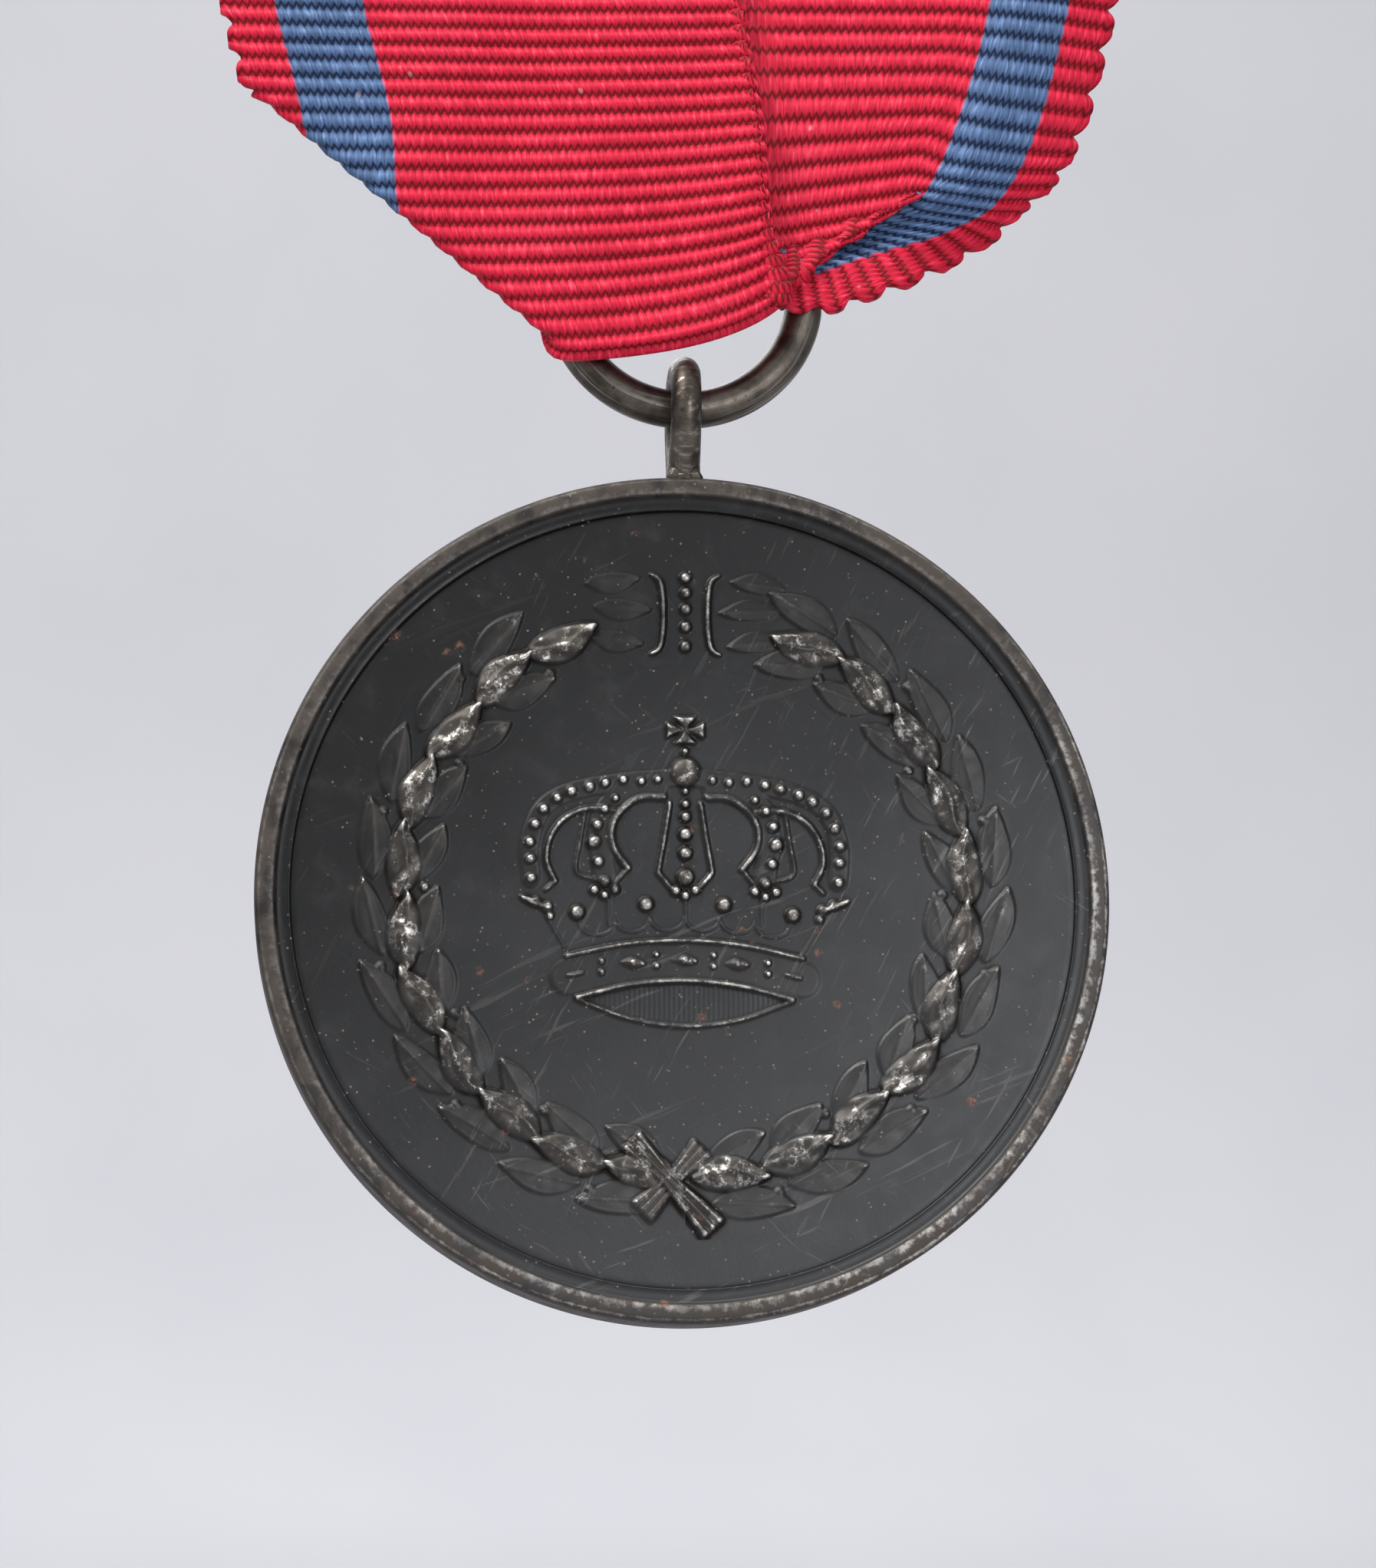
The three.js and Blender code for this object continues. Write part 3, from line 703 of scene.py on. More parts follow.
RIBBON_WIDTH = 38
RIBBON_MIDDLE = RIBBON_WIDTH / 2
TOP_Z = PLATE_TOP - FOLD_CENTRE.z  # the fold over the mount plate
START_Z = 12
TOP_V = START_Z - TOP_Z
BOTTOM_V = 11.5  # the fold at the foot of the left panel
THROAT_V = 22.0  # inside the ring
TOP_RADIUS = 0.8  # of the turn over the plate
FOOT_RADIUS = 0.6  # of the turn under at the foot of the left panel
BACK_FOOT = 2.4  # z of the lower end of the back leg, inside the ring
GATHERS = 7  # layers that the ribbon lies in where it passes through the ring
GATHER_REACH = 2.75  # each side of the middle
PLEAT_U = 20.9  # the edge of the left panel, which lies over the right one
PLEAT_ROLL = 0.8  # how much of the panel rolls over that edge


def smooth(x, low, high):
    """0 below low, 1 above high, and eased between them."""
    t = np.clip((x - low) / (high - low), 0, 1)
    return t * t * (3 - 2 * t)


def through(v, stations):
    """Values at v on smooth curves through stations of (v, value, value, ...)."""
    table = np.array(stations, float)
    at, values = table[:, 0], table[:, 1:]
    slope = np.gradient(values, at, axis=0)
    i = np.clip(np.searchsorted(at, v) - 1, 0, len(at) - 2)
    span = (at[i + 1] - at[i])[..., None]
    t = np.clip((v - at[i])[..., None] / span, 0, 1)
    a, b, c, d = values[i], values[i + 1], slope[i] * span, slope[i + 1] * span
    return a * (1 + 2 * t) * (1 - t) ** 2 + c * t * (1 - t) ** 2 + b * t * t * (3 - 2 * t) - d * t * t * (1 - t)


# v, then x and z where the roll starts, and x at the edge itself
PLEAT_EDGE = [(TOP_V, 1.1, TOP_Z, 1.95), (-24, 1.1, 36, 1.95), (-12, 1.3, 24, 2.15), (0, 1.95, 12, 2.85),
              (1.4, 2.35, 10.6, 3.0), (3.6, 2.9, 8.4, 3.25), (6.1, 3.1, 5.9, 3.4), (7.7, 3.25, 4.4, 3.5),
              (10.6, 3.7, 2.0, 3.95), (11.5, 3.85, 1.25, 4.1), (12.5, 3.5, 1.1, 3.8), (14, 3.0, 0.8, 3.3),
              (17, 2.4, 1.2, 2.6), (19.6, 1.9, 1.7, 2.1), (THROAT_V, 1.0, 2.0, 1.2)]
# v, then how steeply the left panel's ribs fall away from the pleat, and over what distance
RIB_SLOPE = [(TOP_V, 0.0, 8), (-12, 0.0, 8), (0, 0.07, 8), (3.6, 0.13, 7), (7.7, 0.32, 5), (10.6, 0.6, 4.4),
             (11.5, 0.7, 4.2), (THROAT_V, 0.7, 4.2)]
# v, then u, x, z of the crease's front, its tuck, the band's start, its red edge, and the selvedge
RIGHT_BAND = [
    (TOP_V, 31.5, 12.5, TOP_Z, 32.5, 13.5, TOP_Z, 33.5, 14.5, TOP_Z, 36, 17, TOP_Z, 19, TOP_Z),
    (-20, 31.5, 12.5, 32.0, 32.5, 13.5, 32.0, 33.5, 14.5, 32.0, 36, 17, 32.0, 19, 32.0),
    (-9, 31.5, 12.2, 21.0, 32.5, 13.2, 21.0, 33.5, 14.2, 21.0, 36, 16.7, 20.9, 18.6, 20.9),
    (0, 31.5, 11.0, 12.1, 32.5, 12.0, 12.0, 33.5, 12.9, 11.95, 36, 15.2, 11.8, 17.1, 11.6),
    (3.5, 31.5, 10.1, 8.8, 32.5, 11.0, 8.6, 33.5, 11.9, 8.4, 36, 14.2, 8.2, 16.1, 8.1),
    (6.5, 31.5, 9.15, 6.3, 32.5, 10.0, 6.1, 33.5, 10.8, 5.95, 36, 13.1, 5.8, 14.9, 5.9),
    (8.6, 31.0, 8.5, 4.5, 32.4, 9.2, 5.2, 33.2, 9.4, 4.95, 36, 12.1, 4.6, 13.5, 4.6),
    (10, 28.5, 6.9, 3.3, 31.5, 7.6, 5.6, 33.8, 8.85, 4.4, 36, 11.2, 4.1, 12.55, 3.6),
    (11.5, 25.5, 4.8, 1.85, 30.5, 5.0, 5.0, 34.4, 8.1, 3.85, 36, 10.1, 3.55, 11.2, 2.7),
    (13.5, 24.9, 3.4, 1.4, 30.5, 3.5, 4.0, 35.0, 6.9, 3.3, 36, 8.4, 3.0, 9.3, 1.8),
    (16, 24.9, 2.7, 1.6, 30.5, 2.8, 3.6, 35.4, 5.5, 2.5, 36, 6.5, 2.35, 7.1, 0.95),
    (18, 24.9, 2.2, 2.0, 30.5, 2.4, 3.2, 35.6, 4.6, 1.9, 36, 5.2, 1.85, 5.5, 0.42),
    (19.6, 24.9, 1.8, 2.2, 30.5, 2.2, 3.0, 35.6, 3.7, 1.5, 36, 4.1, 1.45, 4.2, 0.5),
    (THROAT_V, 24.9, 1.5, 2.3, 30.5, 2.0, 2.8, 35.6, 2.2, 1.4, 36, 2.2, 1.3, 2.0, 0.5),
]


def fold_over(x, z, y, start, end, radius):
    """Wraps what lies beyond the line from start to end round behind it."""
    run = math.hypot(end[0] - start[0], end[1] - start[1])
    nx, nz = -(end[1] - start[1]) / run, (end[0] - start[0]) / run
    beyond = -((x - start[0]) * nx + (z - start[1]) * nz)
    turned = np.clip(beyond / radius, 0, math.pi)
    flat = np.maximum(beyond - math.pi * radius, 0)
    shift = np.where(beyond > 0, beyond - radius * np.sin(turned) + flat, 0)
    back = np.where(beyond > 0, radius * (1 - np.cos(turned)), 0)
    return x + nx * shift, z + nz * shift, y + back


def left_panel(u, v):
    """The left panel, from its pleated edge to the selvedge folded behind it."""
    edge = through(v, PLEAT_EDGE)
    fall = through(v, RIB_SLOPE)
    away = np.maximum(PLEAT_U - PLEAT_ROLL - u, 0)
    drop = fall[..., 0] * fall[..., 1] * (1 - np.exp(-away / fall[..., 1]))
    roll = np.clip((u - PLEAT_U) / PLEAT_ROLL + 1, 0, 1)
    x = edge[..., 0] - np.sqrt(np.maximum(away**2 - drop**2, 0)) + roll * (edge[..., 2] - edge[..., 0])
    z = edge[..., 1] - drop - 0.3 * roll**2 * smooth(v, -14, 0)
    return x, z


def front_depth(v):
    """How far the front leg stands in front of the ring, at v."""
    return -0.68 - 1.35 * smooth(v, -28, 4)


def front_leg(u, v):
    """Where a point of the front leg is."""
    depth = front_depth(v)
    x, z = left_panel(u, np.minimum(v, BOTTOM_V))
    y = depth - 0.25 * np.exp(-(((x - 0.5) / 3.5) ** 2)) * smooth(v, -10, 6)
    y += 0.16 * np.sin(x * 0.9 + v * 0.25 + 0.6) * smooth(v, -16, 6)
    x, z, y = fold_over(x, z, y, (-16.55, 8.7), (-3.8, -1.95), 0.42)
    # the foot of the panel turns under, and goes up inside the ring
    under = np.maximum(v - BOTTOM_V, 0)
    turned = np.clip(under / FOOT_RADIUS, 0, math.pi)
    z = z - FOOT_RADIUS * np.sin(turned) + np.maximum(under - math.pi * FOOT_RADIUS, 0)
    y = y + (FOOT_RADIUS * (1 - np.cos(turned))) * np.clip(1.2 - (y - depth), 0.2, 1)
    right = right_panel(u, v, depth)
    pleated = u > PLEAT_U
    x, y, z = (np.where(pleated, new, old) for new, old in zip(right, (x, y, z)))
    gathered = smooth(v, BOTTOM_V + 1.2, THROAT_V - 3) * np.where(pleated, 0, 1)
    gathered = np.maximum(gathered, smooth(v, 19.6, THROAT_V))
    tx, ty, tz = throat(u)
    x, y, z = (old + (new - old) * gathered for new, old in zip((tx, ty, tz), (x, y, z)))
    return x, y, z


def gathered_at(u):
    """Which layer of the gathers u is in, counted from the left edge, and its x."""
    turn = u / RIBBON_WIDTH * GATHERS
    return turn, GATHER_REACH * (2 * np.abs((turn % 2) - 1) - 1)


def throat(u):
    """The gathered ribbon where it passes under the ring's top wire: layers folded to and fro."""
    turn, x = gathered_at(u)
    return x, -0.2 + 0 * u, 1.9 + turn * 0.3


def right_panel(u, v, depth):
    """The right panel: out from under the pleat, across to the crease, and round its curled band."""
    edge = through(v, PLEAT_EDGE)
    tuck = 1.7 * smooth(v, -22, 0) + 0.4 * smooth(v, 0, 10) + 0.02
    band = through(v, RIGHT_BAND)
    layer = smooth(v, -22, 0)
    crease = smooth(v, 7.4, 10)
    curl = smooth(v, -14, 4) * (1 - smooth(v, 11, 15))
    foot = crease * (1 - smooth(v, 14, 17))
    low = depth + 0.92 * layer
    knots = [
        (PLEAT_U + 0 * v, edge[..., 2], depth - 0.28 * smooth(v, -10, 6), edge[..., 1] - 0.3 * layer),
        (PLEAT_U + tuck, edge[..., 2] - tuck, depth + 0.52 * layer, edge[..., 1] - 0.35 * layer),
        (PLEAT_U + 2 * tuck, edge[..., 2] + 0.05, low, edge[..., 1] - 0.2 * layer),
        (band[..., 0], band[..., 1], low - 0.1 * crease, band[..., 2]),
        (band[..., 3], band[..., 4], low + 0.75 * foot, band[..., 5]),
        (band[..., 6], band[..., 7], low + 0.8 * foot - 0.3 * curl, band[..., 8]),
        (band[..., 9], band[..., 10], low + 0.45 * curl, band[..., 11]),
        (RIBBON_WIDTH + 0 * v, band[..., 12], low + 1.2 * curl, band[..., 13]),
    ]
    at = np.stack([k[0] for k in knots], -1)
    values = np.stack([np.stack(k[1:], -1) for k in knots], -2)
    i = np.clip((u[..., None] >= at).sum(-1) - 1, 0, len(knots) - 2)
    low_u, high_u = (np.take_along_axis(at, (i + k)[..., None], -1)[..., 0] for k in (0, 1))
    t = np.clip((u - low_u) / np.maximum(high_u - low_u, 0.01), 0, 1)[..., None]
    low_p, high_p = (np.take_along_axis(values, (i + k)[..., None, None], -2)[..., 0, :] for k in (0, 1))
    p = low_p + (high_p - low_p) * t
    return p[..., 0], p[..., 1], p[..., 2]


def rounded(values, steps):
    """Rounds a shape off across the ribbon, leaving its two selvedges where they are."""
    out = values.copy()
    for _ in range(steps):
        out[:, 1:-1] = out[:, 1:-1] * 0.5 + (out[:, :-2] + out[:, 2:]) * 0.25
    return out


def rib_place(u, v):
    """How far down the weave a point is: the pleat's two sides have slid past each other."""
    return v - 0.26 * (smooth(v, -10, 8) * (v + 4) * (v > -10)) * smooth(u, PLEAT_U + 0.6, PLEAT_U + 3.6)


def in_folds(u, v):
    """1 where the ribbon turns back on itself at the pleat and at the crease, 0 elsewhere."""
    pleat = smooth(u, PLEAT_U - 0.9, PLEAT_U - 0.2) * (1 - smooth(u, PLEAT_U + 3.6, PLEAT_U + 4.6))
    pleat = pleat * smooth(v, -16, -6)
    crease = smooth(u, 29.6, 30.4) * (1 - smooth(u, 33.4, 34.2)) * smooth(v, 8, 10)
    return np.maximum(pleat, crease)


def ribbed(x, y, z, u, turn, height):
    """Raises the ribs along the sheet's own normal, and lets them round off past the selvedges."""
    along = [np.gradient(a, axis=0) for a in (x, y, z)]
    across = [np.gradient(a, axis=1) for a in (x, y, z)]
    normal = np.cross(np.stack(across, -1), np.stack(along, -1))
    normal /= np.linalg.norm(normal, axis=-1, keepdims=True) + 1e-9
    crest = np.abs(np.sin(math.pi * turn)) ** 0.85
    side = np.where(u < RIBBON_MIDDLE, 0.0, 0.5)
    loop = np.abs(np.sin(math.pi * (turn / 2 + side))) ** 0.7
    edge = np.clip(1 - np.minimum(u, RIBBON_WIDTH - u) / 0.55, 0, 1) ** 1.5
    outward = np.stack(across, -1)
    outward /= np.linalg.norm(outward, axis=-1, keepdims=True) + 1e-9
    lift = height * (crest - 0.5 + 0.4 * edge * loop)
    push = 0.42 * (loop - 0.55) * edge * np.where(u < RIBBON_MIDDLE, -1, 1)
    return [a + normal[..., k] * lift + outward[..., k] * push for k, a in enumerate((x, y, z))]


def spread(share, ends, dense, weight):
    """Shares 0 to 1 as places between ends, closer together within the dense stretches."""
    places = np.linspace(*ends, 2000)
    thick = np.ones_like(places)
    for low, high in dense:
        thick += weight * ((places > low) & (places < high))
    total = np.cumsum(thick)
    return np.interp(share * total[-1], total, places)


def ribbon_sheet(name, columns, rows, leg, v_range, facing):
    """One leg of the ribbon as a ribbed sheet with its thickness."""
    silk = settings().silk
    bm = bmesh.new()
    layer = bm.loops.layers.uv.new("weave")
    dense_u, dense_v = ([(18.5, 27), (31, 36.5)], [(-2, 14)]) if facing > 0 else ([], [])
    grid, (u, v) = sheet_of(bm, columns, rows, lambda a, b: (
        spread(a, (0, RIBBON_WIDTH), dense_u, 1.2), spread(b, v_range, dense_v, 1.0)))
    woven, folded = (rib_place(u, v), in_folds(u, v)) if facing > 0 else (v, 0 * u)
    x, y, z = (rounded(a, 2) + (rounded(a, 14) - rounded(a, 2)) * folded for a in leg(u, v))
    z = z + 0.30 * (y - 0.1)  # what lies in front also hangs a little lower
    hidden = folded * smooth(u, PLEAT_U + 0.3, PLEAT_U + 0.9)
    x, y, z = ribbed(x, y, z, u, woven / silk.rib, -0.2 * facing * (1 - 0.85 * hidden))
    set_points(grid, x, y + FOLD_CENTRE.y, z + FOLD_CENTRE.z)
    place = {vert: (uu / 100, vv / 100 + 0.5) for vert, uu, vv in zip(grid.ravel(), u.ravel(), woven.ravel())}
    for face in bm.faces:
        for loop in face.loops:
            loop[layer].uv = place[loop.vert]
    if facing > 0:
        bmesh.ops.reverse_faces(bm, faces=bm.faces)
    made = finish_mesh(bm, name)
    solid = made.modifiers.new("thickness", "SOLIDIFY")
    solid.thickness = silk.thickness * MM
    solid.offset = -1
    made.data.materials.append(striped_silk())
    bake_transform(made)
    return made


def front_run(u, v):
    """The front leg with its turn over the top of the mount plate."""
    x, y, z = front_leg(u, np.maximum(v, TOP_V))
    over = np.clip((TOP_V - v) / TOP_RADIUS, 0, math.pi)
    turned = v < TOP_V + 1e-6
    z = np.where(turned, TOP_Z + TOP_RADIUS * np.sin(over), z)
    y = np.where(turned, -TOP_RADIUS * np.cos(over), y)
    return x + (u - RIBBON_MIDDLE - x) * (1 - smooth(v, TOP_V, TOP_V + 9)), y, z


def back_leg(u, v):
    """The back leg: gathered behind the ring, and fanned out flat by the mount plate."""
    z = TOP_Z - v
    flat = smooth(z, 5.6, 24)
    turn, pleat = gathered_at(u)
    x = pleat + (u - RIBBON_MIDDLE - pleat) * flat
    stacked = 1.15 + (GATHERS - turn) * 0.34
    y = stacked + (TOP_RADIUS - stacked) * smooth(z, 13, 25)
    _, ty, tz = throat(u)
    low = 1 - smooth(z, BACK_FOOT, 5.8)
    return x, y + (ty + 0.25 - y) * low, z + (tz - z) * low


class MEDAL_OT_ribbon(bpy.types.Operator):
    """Weave the ribbon and fold it through the ring"""

    bl_idname = "medal.ribbon"
    bl_label = "Folded Ribbon"

    def execute(self, context):
        over = TOP_V - TOP_RADIUS * math.pi
        front = ribbon_sheet("ribbon_front", 124, 386, front_run, (over, THROAT_V), 1)
        reach = TOP_Z - BACK_FOOT
        back = ribbon_sheet("ribbon_back", 112, 296, back_leg, (0, reach), -1)
        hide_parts("ribbon")
        return {"FINISHED"}


# ---- Finishes -----------------------------------------------------------------------------


class Finish:
    """A material being wired up: each call adds a node and gives its output."""

    def __init__(self, name):
        self.material = bpy.data.materials.new(name)
        self.material.use_nodes = True
        self.tree = self.material.node_tree
        self.surface = self.tree.nodes["Principled BSDF"]
        self.object = self.add("ShaderNodeTexCoord").outputs["Object"]

    def add(self, kind, inputs=None, **settings_):
        """A node with its inputs linked or set."""
        node = self.tree.nodes.new(kind)
        for key, value in settings_.items():
            setattr(node, key, value)
        for key, value in (inputs or {}).items():
            self.put(node.inputs[key], value)
        return node

    def put(self, socket, value):
        """Links an output to a socket, or sets the socket's own value."""
        if isinstance(value, bpy.types.NodeSocket):
            self.tree.links.new(value, socket)
        elif socket.type == "RGBA" and len(value) == 3:
            socket.default_value = (*value, 1)
        else:
            socket.default_value = value

    def math(self, operation, *values, clamp=False):
        return self.add("ShaderNodeMath", dict(enumerate(values)), operation=operation, use_clamp=clamp).outputs[0]

    def plus(self, a, b, clamp=False):
        return self.math("ADD", a, b, clamp=clamp)

    def minus(self, a, b, clamp=False):
        return self.math("SUBTRACT", a, b, clamp=clamp)

    def times(self, a, b):
        return self.math("MULTIPLY", a, b)

    def most(self, a, b):
        return self.math("MAXIMUM", a, b)

    def step(self, value, low, high, out_low=0.0, out_high=1.0):
        """Value eased from low to high, as out_low to out_high."""
        return self.add("ShaderNodeMapRange", {"Value": value, "From Min": low, "From Max": high,
                                               "To Min": out_low, "To Max": out_high},
                        interpolation_type="SMOOTHSTEP").outputs["Result"]

    def mix(self, factor, a, b):
        """Colour a, giving way to colour b as factor goes from 0 to 1."""
        node = self.tree.nodes.new("ShaderNodeMix")
        node.data_type = "RGBA"
        self.put(node.inputs[0], factor)
        self.put(node.inputs[6], a)
        self.put(node.inputs[7], b)
        return node.outputs[2]

    def place(self, scale=(1, 1, 1), start=None, move=(0, 0, 0)):
        """The object's own coordinates, or others, stretched and moved."""
        return self.add("ShaderNodeMapping", {"Vector": start or self.object, "Scale": scale,
                                              "Location": move}).outputs[0]

    def noise(self, size, detail=3.0, rough=0.55, where=None, twist=0.0):
        """Clouds about that many millimetres across, 0 to 1."""
        return self.add("ShaderNodeTexNoise", {"Vector": where or self.object, "Scale": 1 / (size * MM),
                                               "Detail": detail, "Roughness": rough, "Distortion": twist}).outputs[0]

    def specks(self, size, where=None):
        """Distance from scattered points about that many millimetres apart, 0 at a point."""
        return self.add("ShaderNodeTexVoronoi", {"Vector": where or self.object, "Scale": 1 / (size * MM)},
                        feature="F1").outputs["Distance"]

    def attribute(self, name):
        """A number stored on the mesh."""
        return self.add("ShaderNodeAttribute", attribute_name=name, attribute_type="GEOMETRY").outputs["Fac"]

    def scratches(self, turn, density=2.2):
        """Fine straight scratches along one direction of the disc's face, 1 on a scratch."""
        sway = self.times(self.minus(self.noise(6.0, 1), 0.5), 0.0022)
        push = self.add("ShaderNodeCombineXYZ", {0: sway, 2: sway}).outputs[0]
        bent = self.add("ShaderNodeVectorMath", {0: self.object, 1: push}, operation="ADD").outputs[0]
        across = self.add("ShaderNodeMapping", {"Vector": bent, "Scale": (1, 1, 16),
                                                "Rotation": (0, math.radians(turn), 0)},
                          vector_type="TEXTURE").outputs[0]
        grain = self.noise(density, 2.0, 0.4, where=across)
        fine = self.noise(density * 0.08, 2.0, 0.5, where=across)
        return self.times(self.step(fine, 0.62, 0.7), self.step(grain, 0.52, 0.64))

    def finish(self, inputs, bump=None, bump_mm=0.02, strength=1.0):
        """Fills in the surface's own sockets, with a bump if there is one."""
        for key, value in inputs.items():
            self.put(self.surface.inputs[key], value)
        if bump is not None:
            node = self.add("ShaderNodeBump", {"Height": bump, "Distance": bump_mm * MM, "Strength": strength})
            self.put(self.surface.inputs["Normal"], node.outputs[0])
        return self.material


def once(make):
    """Makes a finish the first time it is asked for, and hands out the same one afterwards."""
    made = {}

    def get():
        if make.__name__ not in made:
            made[make.__name__] = make()
        return made[make.__name__]

    return get


@once
def black_patina():
    """Blackened nickel: satin field painted lighter towards the lower right and darker towards the upper left as a
    painted sheen, silver where it is rubbed, brown in the hollows, rust specks.
    """
    metal = settings().metal
    f = Finish("black_patina")
    worn, height, rim = f.attribute("worn"), f.attribute("height"), f.attribute("rim")
    broad, middle, fine = f.noise(7.5, 4, 0.6), f.noise(1.3, 4, 0.62, twist=0.4), f.noise(0.16, 3, 0.65)
    dark = f.mix(f.step(broad, 0.35, 0.7), [c * 0.85 for c in metal.patina], [c * 1.12 for c in metal.patina])
    # Painted sheen: slope runs across the disc from upper left to lower right. The field's colour is made lighter
    # towards the lower right and darker towards the upper left, standing in for reflected light.
    spot = f.add("ShaderNodeSeparateXYZ", {0: f.place(move=tuple(-c * MM for c in DISC_CENTRE))}).outputs
    slope = f.minus(f.times(spot[0], 0.6), f.times(spot[2], 0.8))
    slope = f.step(slope, -DISC_RADIUS * MM, DISC_RADIUS * MM)
    dark = f.mix(f.step(slope, 0.45, 1.0), dark, [c * 1.35 for c in metal.patina])
    dark = f.mix(f.step(slope, 0.5, 0.0), dark, [c * 0.6 for c in metal.patina])
    dark = f.mix(f.step(middle, 0.5, 0.8, 0, 0.35), dark, [c * 1.5 for c in metal.patina])
    raised = f.step(height, 0.02, 0.2)
    dark = f.mix(f.times(raised, f.step(middle, 0.3, 0.75, 0.3, 0.8)), dark, (0.088, 0.078, 0.068))
    hollow = f.times(f.step(worn, -0.006, -0.05), f.step(middle, 0.3, 0.55))
    brown = f.times(rim, f.step(middle, 0.36, 0.6, 0.25, 0.95))
    tone = f.mix(f.times(hollow, 0.8), dark, (0.014, 0.011, 0.009))
    tone = f.mix(brown, tone, list(metal.brown))
    lift = f.plus(worn, f.times(f.minus(f.noise(0.4, 5, 0.75), 0.5), 0.2))
    rubbed = f.step(lift, 0.038, 0.11, 0, 0.9)
    rubbed = f.times(rubbed, f.step(f.noise(2.6, 2), 0.32, 0.62, 0.25, 1.0))
    # Partly wear and partly painted highlight: on the rim the rubbed metal is held back towards the upper left and
    # kept mostly to the lower right, the side of the painted sheen.
    rubbed = f.times(rubbed, f.step(f.times(rim, f.step(slope, 0.9, 0.3, 0.35, 1.0)), 0, 1, 1.0, 0.15))
    fleck = f.times(f.step(f.noise(0.45, 5, 0.75), 0.5, 0.66), f.step(height, 0.09, 0.2))
    rubbed = f.most(rubbed, f.times(fleck, f.step(f.noise(1.5, 2), 0.36, 0.6, 0.0, 0.72)))
    scratch = f.most(f.scratches(28), f.most(f.scratches(-47, 1.7), f.scratches(66, 3.1)))
    # The scratches are real wear, but how brightly they show is painted highlight: stronger towards the lower right,
    # with the painted sheen.
    rubbed = f.most(rubbed, f.times(scratch, f.step(slope, 0.2, 0.75, 0.015, 0.05)))
    tone = f.mix(rubbed, tone, list(metal.bright))
    rust = f.times(f.step(f.specks(1.1), 0.26, 0.1), f.step(f.noise(2.2, 3, 0.7), 0.58, 0.68))
    rust = f.times(rust, f.step(fine, 0.4, 0.6))
    tone = f.mix(f.times(rust, 0.62), tone, list(metal.rust))
    dust = f.times(f.step(f.specks(0.32), 0.18, 0.08), f.step(f.noise(0.7), 0.47, 0.6))
    tone = f.mix(f.times(dust, 0.45), tone, (0.27, 0.23, 0.18))
    dull = f.most(rust, f.most(dust, f.times(brown, 0.6)))
    rough = f.plus(f.step(middle, 0.2, 0.8, 0.42, 0.54), f.times(dull, 0.3))
    rough = f.minus(rough, f.times(rubbed, 0.16), clamp=True)
    bump = f.plus(f.times(fine, 0.35), f.plus(middle, f.times(scratch, -0.3)))
    return f.finish({"Base Color": tone, "Metallic": f.minus(0.96, dull, clamp=True), "Roughness": rough},
                    bump, 0.022, 0.55)


def tarnished_wire(name, centre):
    """Nickel wire gone brown-grey, drawn lengthwise, silver where it is rubbed."""
    f = Finish(name)
    near = f.place(move=tuple(-c * MM for c in centre))
    parts = f.add("ShaderNodeSeparateXYZ", {0: near}).outputs
    away = f.math("SQRT", f.plus(f.math("POWER", parts[0], 2.0), f.math("POWER", parts[2], 2.0)))
    turn = f.math("ARCTAN2", parts[2], parts[0])
    drawn = f.add("ShaderNodeCombineXYZ", {0: f.times(away, 9.0), 1: f.times(parts[1], 9.0),
                                           2: f.times(turn, 0.0016)}).outputs[0]
    streak = f.noise(2.4, 4, 0.65, where=drawn)
    middle, fine = f.noise(1.6, 4, 0.6), f.noise(0.2, 3, 0.7)
    tone = f.mix(f.step(middle, 0.35, 0.66), (0.055, 0.045, 0.037), (0.15, 0.132, 0.112))
    tone = f.mix(f.step(streak, 0.52, 0.72, 0, 0.75), tone, (0.42, 0.39, 0.345))
    tone = f.mix(f.step(f.noise(0.8, 4, 0.7), 0.6, 0.72, 0, 0.8), tone, (0.02, 0.015, 0.012))
    rust = f.times(f.step(f.specks(0.9), 0.24, 0.1), f.step(middle, 0.55, 0.63))
    tone = f.mix(f.times(rust, 0.6), tone, (0.23, 0.085, 0.035))
    rough = f.plus(f.step(streak, 0.3, 0.75, 0.5, 0.3), f.times(rust, 0.3))
    bump = f.plus(streak, f.times(fine, 0.4))
    return f.finish({"Base Color": tone, "Metallic": f.minus(0.97, rust, clamp=True), "Roughness": rough},
                    bump, 0.03, 0.6)


